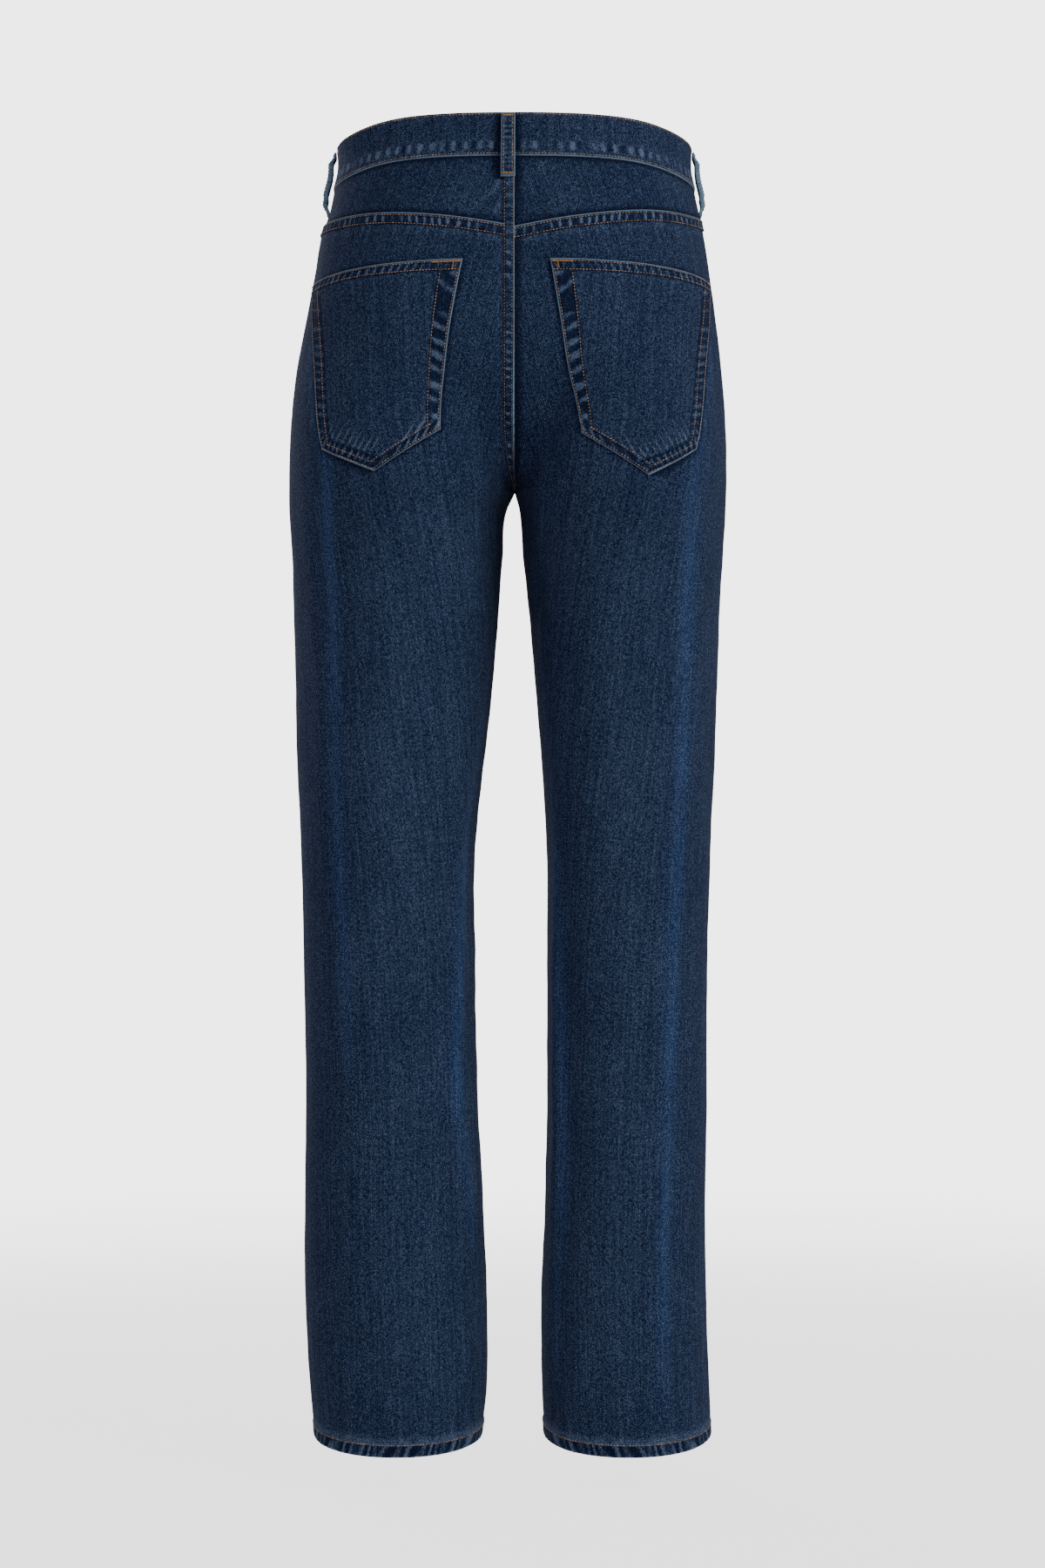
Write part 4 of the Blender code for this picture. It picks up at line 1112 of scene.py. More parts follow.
def scoop_path_place(side, turn, level):
    """How far along the scoop a place lies, roughly, in metres."""
    seam = RULERS[side].length(SIDE_TURN, level)
    across = seam - RULERS[side].length(turn, level)
    return SCOOP_RADIUS * np.arctan2(WAIST_SEAM - level, np.maximum(across, 1e-6))


def fly(side, turn, level):
    """Lift of the fly, a double layer beside the centre front, and the distance to its fold."""
    away = RULERS[side].length(turn, level)
    down = WAIST_SEAM - level
    fold = smooth((FLY_DEPTH + 0.02 - down) / 0.02)
    lift = FLY_HEIGHT * fold * smooth((FLY_WIDTH + 0.004 - away) / 0.006)
    edge = np.where(fold > 0.5, away, BEYOND)
    return lift - rounded(away, 0.0005) * fold, edge


def yoke_panel(side, thick):
    """Back yoke, from the waist seam to the yoke seam."""
    ruler = RULERS[side]
    row = ruler.row(-0.045)
    width = ruler.back_width(row)
    across = steps_near_edges(width, 0.0028)
    turns = ruler.from_back(row, across)
    shares = np.concatenate(((0.0, 0.02, 0.05, 0.09), np.linspace(0.14, 0.93, 13), (0.96, 0.98, 1.0)))
    top = WAIST_SEAM + 0.004
    low = yoke_level(side, turns) - 0.002
    level = top + (low - top) * shares[:, None]
    turn = np.broadcast_to(turns, level.shape)
    lift, wear = side_seam(side, turn, level)
    lift = lift - 0.0004 * smooth((level - WAIST_SEAM + 0.001) / 0.002)
    shadow = np.maximum(level - yoke_level(side, turn), 0.0)
    shadow = np.minimum(shadow, np.maximum(WAIST_SEAM - level, 0.0))
    under_loop = loop_gap(ring_place(side, turn)) * 0.6
    shadow = np.minimum(shadow, np.where(level > -0.040, under_loop, BEYOND))
    fade = 0.42 * wear + lines(FADES, "strength", side, turn, level, 0.6) - 0.12
    facts = {"fade": fade, "seam": np.full(level.shape, BEYOND), "shadow": shadow}
    beside_seat(side, facts, ruler.length(1.0, level) - ruler.length(turn, level))
    return panel_shell(f"cloth_yoke_{side}", side, turn, level, lift, facts, thick)


def facing_panel(side, thick):
    """Front pocket facing, behind the scoop."""
    ruler = RULERS[side]
    level = np.linspace(WAIST_SEAM + SEAM_ALLOWANCE * 0.6, WAIST_SEAM - SCOOP_DEPTH - FACING_MARGIN, 34)
    per_metre = ruler.per_metre(0.40, WAIST_SEAM)
    first = SIDE_TURN - (SCOOP_WIDTH + FACING_MARGIN) * per_metre
    turn = np.linspace(first, SIDE_TURN + SEAM_ALLOWANCE * per_metre * 0.4, 44)
    turn, level = np.meshgrid(turn, level)
    gap = scoop_distance(side, turn, level)
    out = ruler.length(SIDE_TURN, level) - ruler.length(turn, level)
    open_part = (out / SCOOP_WIDTH) ** 2 + ((WAIST_SEAM - level) / SCOOP_DEPTH) ** 2 < 1.0
    sink = np.where(open_part, smooth(gap / 0.030), 0.0)
    side_gap = np.abs(turn - SIDE_TURN) / per_metre
    lift = -0.0030 + 0.0024 * sink * smooth((0.030 - side_gap) / 0.030 + 0.2)
    facts = {"shadow": np.where(open_part, np.minimum(gap, WAIST_SEAM - level), 0.0)}
    return panel_shell(f"cloth_pocket_facing_{side}", side, turn, level, lift, facts, thick)


# ---------------- strips on seams

def blots(wave):
    """Puckers as the wash leaves them: narrow pale crests, and broad dark hollows between."""
    return 1.45 * smooth((wave + 0.05) / 0.75) - 0.50


def needle_lines(across, rows=(NEAR_ROW, FAR_ROW), soft=0.0008):
    """1 along the lines where rows of stitches pull the cloth down."""
    return sum(bell(across, row, soft) for row in rows)


def lap(name, side, turn, level, across, along, pitch, seed, extra=0.0, upright=False, strength=1.0):
    """Folded lap of a felled seam: across runs from its fold, along follows it, in metres."""
    lean = 0.06 + 0.26 * wander(along / 0.021, seed + 5)
    puckers = blots(gathers(along + lean * (across - LAP / 2.0), pitch, seed))
    shift = 0.0011 * wander(along / (pitch * 0.6), seed + 6)
    band = between(across + shift, NEAR_ROW + 0.0004, FAR_ROW - 0.0004, 0.0022)
    wave = strength * puckers * (band + 0.35 * (across < NEAR_ROW))
    dips = needle_lines(across)
    lift = LAP_HEIGHT * (smooth((LAP - across) / 0.0016) * 1.25 - 0.25) + 0.00034 * wave - 0.00028 * dips
    lift = lift + extra * smooth((LAP - across) / 0.0016) - rounded(across, 0.0005)
    # the needle lines also lower raised, which paints shade into their grooves
    facts = {"edge": across, "raised": np.clip(wave, -1.0, 1.0) - 0.7 * dips}
    outer, normal = cloth(side, turn, level, lift)
    grain = (across, outer[..., 2]) if upright else None
    return shell(name, outer, outer - normal * LAP_THICK, facts, grain=grain)


STRIP_ACROSS = np.array((0.0, 0.00015, 0.0005, 0.0010, 0.0016, 0.0023, 0.0032, 0.0042, 0.0052, 0.0062,
                         0.0071, 0.0080, 0.0086, 0.0090, 0.0094))


def yoke_lap(side):
    """Lap of the yoke seam, on the back leg's top edge."""
    ruler = RULERS[side]
    row = ruler.row(-0.060)
    width = ruler.back_width(row)
    along = np.linspace(0.0, width, 420)
    turns = ruler.from_back(row, along)
    turn = np.broadcast_to(turns, (len(STRIP_ACROSS), len(turns)))
    across = np.broadcast_to(STRIP_ACROSS[:, None], turn.shape)
    level = yoke_level(side, turn) - across
    along = np.broadcast_to(along, turn.shape)
    return lap(f"lap_yoke_{side}", side, turn, level, across, along, 0.0070, 21)


def seat_levels():
    """Levels along the seat seam, down to where the legs part."""
    return np.linspace(WAIST_SEAM + 0.001, CROTCH + 0.002, 420)


def seat_lap():
    """Lap of the seat seam, over the left yoke and the left back leg."""
    ruler = RULERS["left"]
    level = seat_levels()
    turns = np.array([ruler.from_back(row, STRIP_ACROSS) for row in map(ruler.row, level)]).T
    level = np.broadcast_to(level, turns.shape)
    across = np.broadcast_to(STRIP_ACROSS[:, None], turns.shape)
    along = WAIST_SEAM - level
    return lap("lap_seat", "left", turns, level, across, along, 0.0072, 41,
               CROSSING_HEIGHT * crossing_lift(level), upright=True,
               strength=0.55 + 0.35 * wander(along / 0.016, 44))


def crossing_lift(level):
    """Share of the extra thickness where the seat lap crosses the yoke laps."""
    return bell(level - YOKE_SEAM["left"][0], -0.0045, 0.0055)


ROPE_TURNS, FINE_ROPE_TURNS = 52.0, 141.0       # waves round a hem


def hem_band(side):
    """Turned hem: a band all round, roped by its single row of stitches."""
    ruler = RULERS[side]
    turns = np.linspace(0.0, 1.0, 331)[:-1]
    down = np.array((0.0, 0.0004, 0.0010, 0.0018, 0.0028, 0.0040, 0.0052, 0.0064, 0.0076, 0.0088, 0.0100,
                     0.0108, 0.0114, 0.0118, 0.0120))
    turn, down = np.meshgrid(turns, down)
    level = HEM + HEM_BAND - down
    girth = ruler.row(HEM)[-1]
    along = turn * girth
    slanted = along + (down - HEM_BAND / 2.0) * 0.35
    around = 2.0 * math.pi * turn
    phase = 2.0 * math.pi * slanted / (girth / ROPE_TURNS) + 2.4 * np.sin(around * 7.0 + 1.0)
    rope = np.sin(phase + 1.5 * np.sin(around * 17.0))
    fine = np.sin(2.0 * math.pi * slanted / (girth / FINE_ROPE_TURNS) + 2.0 * np.sin(around * 19.0))
    rope = np.tanh(1.4 * rope) * (0.66 + 0.34 * np.sin(around * 23.0 + 2.0))
    rope = rope + 0.38 * fine * np.sin(around * 11.0 + 0.5)
    band = between(down, HEM_BAND - HEM_ROW + 0.0004, HEM_BAND + 0.001, 0.0016)
    wave = np.clip(rope - 0.10, -1.0, 1.0) * band
    lift = HEM_HEIGHT * smooth(down / 0.0012) - 0.0003 + 0.00030 * wave - rounded(HEM_BAND - down, 0.0007)
    lift = lift - 0.00022 * bell(HEM_BAND - down, HEM_ROW, 0.0006)
    above_row = HEM_BAND - HEM_ROW - down
    facts = {"edge": HEM_BAND - down + 0.0003 - 0.0010 * rope, "raised": wave,
             "fade": 1.1 * between(above_row, 0.0003, 0.01, 0.0006) * (0.65 + 0.35 * fine),
             "seam": np.where(above_row > 0.0, above_row, BEYOND)}
    outer, normal = cloth(side, turn, level, lift)
    return shell(f"hem_{side}", outer, outer - normal * HEM_THICK, facts, closed=True)


# ---------------- pocket, band, loops

# Along the inner and outer edges of a back pocket: seed, edge, slant, pitch and strength
POCKET_RIPPLES = ((53, "inner", 0.5, 0.0115, 0.85), (54, "outer", -0.2, 0.0068, 0.60))


def back_pocket(side):
    """Back patch pocket, sewn down along its edges and full in the middle."""
    ruler = RULERS[side]
    corner = pocket_corners(side)
    height = corner["mouth_inner"].level - corner["base_inner"].level
    span = (corner["base_inner"].away - corner["tip"].away)
    span = span / (corner["base_inner"].away - corner["base_outer"].away)
    width = 0.150                 # rough, to place the columns near the edges
    fine = np.array((0.0, 0.0002, 0.0006, 0.0011, 0.0017))
    first_s, first_t = 0.0026 / width, 0.0026 / height
    s = np.concatenate((fine / width, np.linspace(first_s, span, 52),
                        np.linspace(span, 1.0 - first_s, 58)[1:], 1.0 - fine[::-1] / width))
    t = np.concatenate((fine / height, np.linspace(first_t, 1.0 - first_t, 118), 1.0 - fine[::-1] / height))
    s, t = np.meshgrid(s, t)
    turn, level = pocket_place(side, s, t)
    flat = ruler.flat(turn, level)
    ends = np.linspace(0.0, 1.0, 60)
    edges = {}
    for key, (path_s, path_t) in {"mouth": (ends, ends * 0.0), "base": (ends, ends * 0.0 + 1.0),
                                  "inner": (ends * 0.0, ends), "outer": (ends * 0.0 + 1.0, ends)}.items():
        edges[key] = path_gap(flat, ruler.flat(*pocket_place(side, path_s, path_t)))
    low = np.minimum(np.minimum(edges["base"], edges["inner"]), edges["outer"])
    nearest = np.minimum(low, edges["mouth"])
    across_place, down_place = flat[..., 0], -level
    inner_row = inner_inset(t)
    mouth = blots(gathers(across_place, 0.0064, 51)) * between(edges["mouth"], NEAR_ROW, MOUTH_ROW, 0.0014)
    base = blots(gathers(across_place, 0.0060, 52)) * between(edges["base"], NEAR_ROW, FAR_ROW, 0.0014)
    wave = mouth + base
    clear = smooth((edges["mouth"] - MOUTH_ROW) / 0.002) * smooth((edges["base"] - FAR_ROW) / 0.002)
    for seed, key, slant, pitch, strength in POCKET_RIPPLES:
        ripple = gathers(down_place + slant * edges[key], pitch, seed)
        ripple = ripple + 0.7 * wander(down_place / 0.0055, seed + 9)
        ripple = strength * blots(ripple) - 0.18
        wave = wave + ripple * between(edges[key], NEAR_ROW, inner_row, 0.0024) * clear
    fan = gathers(across_place + 0.12 * down_place, 0.0056, 55) * 1.3 - 0.1
    fan = smooth(fan + 0.5 * wander(across_place / 0.017, 57))
    reach = 0.0110 + 0.0080 * wander(across_place / 0.0085, 56)
    fan = fan * bell(edges["base"], FAR_ROW, reach) * smooth((edges["base"] - FAR_ROW) / 0.002)
    lift = pocket_lift(low, edges["mouth"])
    lift = lift + 0.00032 * (mouth + base) + 0.00050 * (wave - mouth - base) + 0.00042 * fan
    dips = needle_lines(edges["mouth"], (NEAR_ROW, MOUTH_ROW)) + needle_lines(edges["base"])
    for key in ("inner", "outer"):
        dips = dips + needle_lines(edges[key], (NEAR_ROW, inner_row)) * clear
    dips = np.clip(dips, 0.0, 1.0)
    lift = lift - 0.00025 * dips - rounded(nearest, 0.0006)
    # painted highlights of clear blue along pressed ridges, partly wear
    bloom = lines(RIDGES, "strength", side, turn, level, 0.5)
    # the needle lines also lower raised, which paints shade into their grooves
    facts = {"edge": nearest, "raised": np.clip(wave + 0.95 * fan, -1.0, 1.0) - 0.7 * dips,
             "fade": lines(FADES, "strength", side, turn, level, 0.6) + 0.03,
             "bloom": bloom * smooth((edges["outer"] - 0.008) / 0.006),
             "seam": np.where(edges["mouth"] > MOUTH_ROW + 0.0014, edges["mouth"] - MOUTH_ROW, BEYOND) * 1.5}
    outer, normal = cloth(side, turn, level, lift)
    thick = np.where(edges["mouth"] < 0.010, MOUTH_THICK, POCKET_THICK)
    return shell(f"cloth_pocket_back_{side}", outer, outer - normal * thick[..., None], facts)


def pocket_lift(low, mouth):
    """Lift of a pocket at distances from its sewn edges and its mouth: full inside, doubled at the mouth."""
    doubled = 1.0 - smooth((mouth - 0.0095) / 0.0010)
    return POCKET_SEAT + POCKET_FULLNESS * smooth(low / 0.030) + MOUTH_FOLD * doubled


def pocket_rows(side):
    """Rows of stitches round a back pocket: turns, levels and lifts."""
    ruler = RULERS[side]

    def at(s, t):
        return pocket_place(side, np.clip(s, 0.0, 1.0), np.clip(t, 0.0, 1.0))

    def size(first, last):
        a, b = at(*map(np.asarray, first)), at(*map(np.asarray, last))
        return math.hypot(ruler.length(a[0], a[1]) - ruler.length(b[0], b[1]), a[1] - b[1])

    middle_height = size((0.5, 0.0), (0.5, 1.0))
    rows = []
    run = np.linspace(0.0, 1.0, 140)
    widths = np.array([size((0.0, t), (1.0, t)) for t in run])
    heights = np.array([size((s, 0.0), (s, 1.0)) for s in run])
    for row in (NEAR_ROW, MOUTH_ROW):
        s = 0.009 + run * 0.982
        rows.append((*at(s, row / heights), pocket_lift(np.minimum(s, 1.0 - s) * widths[0], row)))
    lean = 1.12                 # metres down the pocket for each metre square to its slanting base
    for row in (NEAR_ROW, FAR_ROW):
        trim = row / widths[-1]
        s = trim + run * (1.0 - 2.0 * trim)
        rows.append((*at(s, 1.0 - row * lean / np.interp(s, run, heights)), pocket_lift(row, BEYOND)))
    for start, sign in ((0.0, 1.0), (1.0, -1.0)):
        for near in (True, False):
            t0 = (MOUTH_ROW if near else NEAR_ROW) / middle_height
            t1 = 1.0 - (NEAR_ROW if near else FAR_ROW) * lean / middle_height
            t = t0 + run * (t1 - t0)
            inset = NEAR_ROW if near else inner_inset(t)
            s = start + sign * inset / np.interp(t, run, widths)
            rows.append((*at(s, t), pocket_lift(inset, BEYOND)))
    return rows


def ring_place(side, turn):
    """Place on the waist ring of a turn on one side."""
    return turn / 2.0 if side == "left" else 1.0 - turn / 2.0


def waist_point(ring, level, lift):
    """Points of the waist ring: 0 is the centre front, 0.5 the centre back, 1 the front."""
    ring = np.asarray(ring, float) % 1.0
    level, lift = np.broadcast_to(level, ring.shape), np.broadcast_to(lift, ring.shape)
    is_left = ring <= 0.5
    turn = np.where(is_left, 2.0 * ring, 2.0 * (1.0 - ring))
    points, normals = np.empty(ring.shape + (3,)), np.empty(ring.shape + (3,))
    for side, mask in (("left", is_left), ("right", ~is_left)):
        points[mask] = form(side, turn[mask], level[mask])
        normals[mask] = outward(side, turn[mask], level[mask])
    return points + normals * lift[..., None], normals


def band_ring():
    """Ring places along the waistband, its distance along in metres, and how far it tucks in."""
    per_metre = {side: RULERS[side].per_metre(0.05, 0.0) for side in SIDES}
    start, end = -LAP_OVER * per_metre["right"] / 2.0, 1.0 + LAP_UNDER * per_metre["left"] / 2.0
    ring = np.linspace(start, end, 620)
    ramp = LAP_RAMP * per_metre["right"] / 2.0
    tuck = (BAND_THICK + 0.0003) * smooth((ring - (1.0 + start - ramp * 1.25)) / ramp)
    points, _ = waist_point(ring, 0.0, 0.0)
    along = np.concatenate(((0.0,), np.cumsum(np.linalg.norm(np.diff(points, axis=0), axis=1))))
    return ring, along, tuck


def waistband():
    """Waistband, a doubled strip all round, worn pale over the seam allowance inside it."""
    ring, along, tuck = band_ring()
    height = BAND_TOP - WAIST_SEAM
    down = steps_near_edges(height, 0.0015, (0.0, 0.0002, 0.0006, 0.0012, 0.0020))
    ring, down = np.meshgrid(ring, down)
    along, tuck = np.broadcast_to(along, ring.shape), np.broadcast_to(tuck, ring.shape)
    level = BAND_TOP - down
    up = height - down
    length = along[0, -1]
    ends = np.minimum(along, length - along)
    wave = gathers(along, 0.0048, 61) * between(down, 0.0004, 0.0036, 0.0020) * 0.45
    wave = wave + gathers(along, 0.0052, 62) * between(up, 0.0004, 0.0036, 0.0020) * 0.6
    ridge = gathers(along, 0.0094, 63) * 0.75 + wander(along / 0.0034, 64) * 0.50 + 0.16
    ridge = np.clip(ridge, -0.6, 1.0) * between(up, 0.0050, 0.0118, 0.0030)
    points, _ = waist_point(ring, level, 0.0)
    soft = 0.00025 * wander(along / 0.022, 66) * between(up, 0.004, 0.03, 0.01)
    soft = 0.00022 * unevenness(points, 0.045, 65) + soft
    full = 0.00055 * smooth(up / 0.006) * smooth(down / 0.006)
    lift = BAND_PROUD + 0.00018 * wave + 0.00022 * ridge + soft + full
    lift = lift - rounded(down, 0.0010) - rounded(up, 0.0005) - rounded(ends, 0.0008)
    for place in (down, up):
        lift = lift - 0.00020 * bell(place, BAND_ROW, 0.0006)
    outer, _ = waist_point(ring, level, lift - tuck)
    back = BAND_PROUD - BAND_THICK + rounded(down, 0.0010)
    inner, _ = waist_point(ring, level, back - tuck)
    facts = {"edge": np.minimum(np.minimum(down + 0.0006, up), ends),
             "raised": np.clip(wave + ridge, -1.0, 1.0),
             "fade": 0.12 * between(up, 0.004, 0.014, 0.004), "shadow": loop_gap(ring) * 0.7}
    grain = (along, points[..., 2])
    return shell("cloth_waistband", outer, inner, facts, grain=grain, slots=("denim_face", "denim_face"))


def loop_centre(loop):
    """Ring place of a belt loop's centre line, and ring per metre there."""
    ruler = RULERS[loop.side]
    row = ruler.row(0.0)
    if loop.shift:
        place = row[-1] - loop.shift if loop.turn > 0.5 else loop.shift
        turn = np.interp(place, row, ruler.turns)
    else:
        turn = loop.turn
    ring = ring_place(loop.side, turn)
    step = 0.001
    points, _ = waist_point(np.array((ring - step, ring + step)), 0.0, 0.0)
    return ring, 2.0 * step / float(np.linalg.norm(points[1] - points[0]))


def loop_gap(ring):
    """Distance from ring places to the nearest belt loop's side."""
    gap = np.full(ring.shape, BEYOND)
    for loop in LOOPS:
        centre, per_metre = loop_centre(loop)
        away = np.abs((ring - centre + 0.5) % 1.0 - 0.5) / per_metre
        gap = np.minimum(gap, np.maximum(away - LOOP_WIDTH / 2.0, 0.0))
    return gap


def loop_height(loop, level, drawn_in=0.0):
    """Height of a belt loop's inner face over the panels, along its length."""
    share = (loop.top - level) / (loop.top - loop.bottom)
    seat = (BAND_PROUD + 0.0006) * smooth((level - WAIST_SEAM) / 0.004 + 1.5) + 0.0005
    bow = smooth((share - 0.04) / 0.15) * smooth((0.97 - share) / 0.16)
    return seat + (loop.bow - drawn_in - 0.3 * seat) * bow


def belt_loop(loop):
    """Belt loop: a folded strip, tacked at both ends and bowed out between."""
    centre, per_metre = loop_centre(loop)
    across = steps_near_edges(LOOP_WIDTH, 0.0011, (0.0, 0.0002, 0.0006, 0.0012, 0.0019))
    level = np.linspace(loop.top, loop.bottom, 58)
    across, level = np.meshgrid(across, level)
    edge = np.minimum(across, LOOP_WIDTH - across)
    ends = np.minimum(loop.top - level, level - loop.bottom)
    wave = gathers(level, 0.0042, 71) * between(edge, NEAR_ROW + 0.0006, 0.02, 0.0014) * 0.8
    lift = loop_height(loop, level) + LOOP_THICK + 0.00016 * wave + 0.0003 * smooth(edge / 0.003)
    lift = lift - rounded(edge, 0.0009) - rounded(ends, 0.0007) - 0.00018 * bell(edge, 0.0021, 0.0006)
    ring = centre + (across - LOOP_WIDTH / 2.0) * per_metre
    outer, _ = waist_point(ring, level, lift)
    inner, _ = waist_point(ring, level, loop_height(loop, level, LOOP_FULLNESS) + rounded(edge, 0.0008))
    facts = {"edge": np.minimum(edge, ends), "raised": wave, "fade": 0.12}
    return shell("cloth_" + loop.name, outer, inner, facts, slots=("denim_face", "denim_face"))


def loop_sewing(loop):
    """A belt loop's two rows of stitches and its bartacks."""
    centre, per_metre = loop_centre(loop)
    level = np.linspace(loop.top - 0.002, loop.bottom + 0.002, 60)
    rows = []
    for place in (-1.0, 1.0):
        ring = np.full(60, centre + place * (LOOP_WIDTH / 2.0 - LOOP_ROW) * per_metre)
        rows.append(waist_point(ring, level, loop_height(loop, level) + LOOP_THICK + 0.0003))
    tacks = []
    for place in (loop.top - 0.0024, loop.bottom + 0.0024):
        half = (LOOP_WIDTH / 2.0 - LOOP_TACK) * per_metre
        ring = np.array((centre - half, centre + half))
        points, normals = waist_point(ring, place, float(loop_height(loop, place)) + LOOP_THICK + 0.0005)
        tacks.append((points[0], points[1], normals[0], 0.0019))
    stitches = sew(f"stitches_{loop.name}", rows, pitch=0.0028, length=0.0025, seed=7)
    return join(f"stitches_{loop.name}", [stitches, bars("tacks", tacks, 90)])


def button():
    """Waist button: a rimmed cap with a fine beaded ring, on a short shank."""
    radius, height, shank = 0.0085, 0.0042, 0.0048
    beads, bead_radius = 36, 0.00026
    profile = (
        (0.0, 0.80), (0.16, 0.80), (0.24, 0.84), (0.30, 0.80), (0.60, 0.78), (0.66, 0.80), (0.70, 0.92),
        (0.76, 0.99), (0.84, 1.02), (0.92, 1.00), (0.98, 0.93), (1.0, 0.82), (1.0, 0.62), (0.98, 0.50),
        (0.90, 0.44), (shank / radius, 0.42), (shank / radius, 0.0), (0.0, 0.0),
    )
    mesh = bmesh.new()
    verts = [mesh.verts.new((x * radius, 0.0, z * height)) for x, z in profile]
    edges = [mesh.edges.new(pair) for pair in zip(verts, verts[1:])]
    bmesh.ops.spin(mesh, geom=verts + edges, axis=(0, 0, 1), cent=(0, 0, 0), steps=64, angle=2 * math.pi)
    for k in range(beads):
        angle = 2.0 * math.pi * k / beads
        place = Vector((0.45 * radius * math.cos(angle), 0.45 * radius * math.sin(angle), 0.785 * height))
        made = bmesh.ops.create_icosphere(mesh, subdivisions=1, radius=bead_radius)
        bmesh.ops.translate(mesh, vec=place, verts=made["verts"])
    bmesh.ops.remove_doubles(mesh, verts=mesh.verts, dist=1e-6)
    bmesh.ops.recalc_face_normals(mesh, faces=mesh.faces)
    level = (BAND_TOP + WAIST_SEAM) / 2.0
    seat, normal = waist_point(np.array((0.0,)), level, BAND_PROUD + 0.0004)
    turned = Vector((0.0, 0.0, 1.0)).rotation_difference(Vector(normal[0]))
    mesh.transform(turned.to_matrix().to_4x4())
    bmesh.ops.translate(mesh, vec=Vector(seat[0]), verts=mesh.verts)
    data = bpy.data.meshes.new("waist_button")
    mesh.to_mesh(data)
    mesh.free()
    data.materials.append(bpy.data.materials["aged_brass"])
    data.shade_smooth()
    return show("waist_button", data)


# ---------------- rows of stitches on panels

def on_panel(side, turn, level, lift):
    """A row of stitches on a panel: its points, just over the cloth, and normals."""
    return cloth(side, turn, level, lift + STITCH_LIFT)


def yoke_rows(side):
    """The two rows along the yoke seam."""
    turn = np.linspace(0.9985, SIDE_TURN + 0.004, 200)
    return [on_panel(side, turn, yoke_level(side, turn) - row, 0.0009) for row in (NEAR_ROW, FAR_ROW)]


def seat_rows():
    """The two rows along the seat seam."""
    ruler = RULERS["left"]
    level = seat_levels()
    found = []
    for row in (NEAR_ROW, FAR_ROW):
        turn = np.array([ruler.from_back(lengths, row) for lengths in map(ruler.row, level)])
        found.append(on_panel("left", turn, level, LAP_HEIGHT + CROSSING_HEIGHT * crossing_lift(level)))
    return found


def hem_rows(side):
    """The single row round a hem."""
    turn = np.linspace(0.0, 1.0, 241)
    return [on_panel(side, turn, np.full(turn.shape, HEM + HEM_ROW), 0.0006)]


def scoop_rows(side):
    """The two rows along the front pocket's scoop."""
    return [on_panel(side, *scoop_path(side, row, 50), 0.0002) for row in (NEAR_ROW, FAR_ROW)]


def fly_rows():
    """The fly's two curved rows, and the rows down the front seam below it."""
    def row(away, level, lift):
        return on_panel("left", RULERS["left"].turn(away, level), level, lift)

    found = []
    bend = np.linspace(0, math.pi / 2, 26)[1:]
    for inset in (0.0, FLY_ROW_GAP):
        width, depth = FLY_WIDTH - inset, FLY_DEPTH - inset
        straight = depth - width * FLY_CURVE
        down = np.concatenate((np.linspace(0.001, straight, 40), straight + width * FLY_CURVE * np.sin(bend)))
        away = np.concatenate((np.full(40, width), width * np.cos(bend) + 0.0012))
        found.append(row(away, WAIST_SEAM - down, FLY_HEIGHT))
    below = np.linspace(WAIST_SEAM - FLY_DEPTH - 0.002, CROTCH + 0.012, 60)
    found += [row(near, below, 0.0001) for near in (NEAR_ROW, FAR_ROW)]
    found.append(row(NEAR_ROW, np.linspace(WAIST_SEAM - 0.002, WAIST_SEAM - FLY_DEPTH + 0.004, 60), 0.00070))
    return found


def band_rows():
    """The waistband's rows: along its top, its bottom and its outer end."""
    ring, _, tuck = band_ring()
    found = []
    keep = slice(2, -2)
    lift = BAND_PROUD + 0.0002 + STITCH_LIFT - tuck
    for level in (BAND_TOP - BAND_ROW, WAIST_SEAM + BAND_ROW):
        found.append(waist_point(ring[keep], level, lift[keep]))
    level = np.linspace(BAND_TOP - 0.002, WAIST_SEAM + 0.002, 14)
    found.append(waist_point(np.full(14, ring[2]), level, BAND_PROUD + 0.0003 + STITCH_LIFT))
    return found


def buttonhole_row():
    """Oval of the buttonhole's close stitches, round the button's shank."""
    level = (BAND_TOP + WAIST_SEAM) / 2.0
    angle = np.linspace(0.0, 2.0 * math.pi, 60)
    per_metre = RULERS["right"].per_metre(0.05, 0.0) / 2.0
    half_length, half_height, shift = 0.0115, 0.0022, 0.0035
    ring = (half_length * np.cos(angle) - shift) * per_metre
    return waist_point(ring, level + half_height * np.sin(angle), BAND_PROUD + 0.0009)


def pocket_tacks(side):
    """Bartacks at a back pocket's mouth: long and short at the inner corner, short at the outer."""
    found = []
    for (s0, t0), (s1, t1), height in POCKET_TACKS[side]:
        s, place = np.array((s0, s1)), np.array((t0, t1))
        turn, level = pocket_place(side, s, place)
        low = np.minimum(s, 1.0 - s) * POCKET_WIDTH
        points, normals = on_panel(side, turn, level, pocket_lift(low, 0.0) + 0.0002)
        found.append((points[0], points[1], normals[0], height))
    return found


# ---------------- add-on

def a_length(name, description, default):
    """A length that can be set."""
    return bpy.props.FloatProperty(name=name, description=description, default=default, unit="LENGTH")


def a_power(name, description, default):
    """A lamp's power that can be set."""
    return bpy.props.FloatProperty(name=name, description=description, default=default, unit="POWER")


def a_strength(name, description, default):
    """A brightness that can be set."""
    return bpy.props.FloatProperty(name=name, description=description, default=default, min=0.0)


def a_colour(name, description, default):
    """A colour that can be set."""
    return bpy.props.FloatVectorProperty(name=name, description=description, subtype="COLOR", default=default)


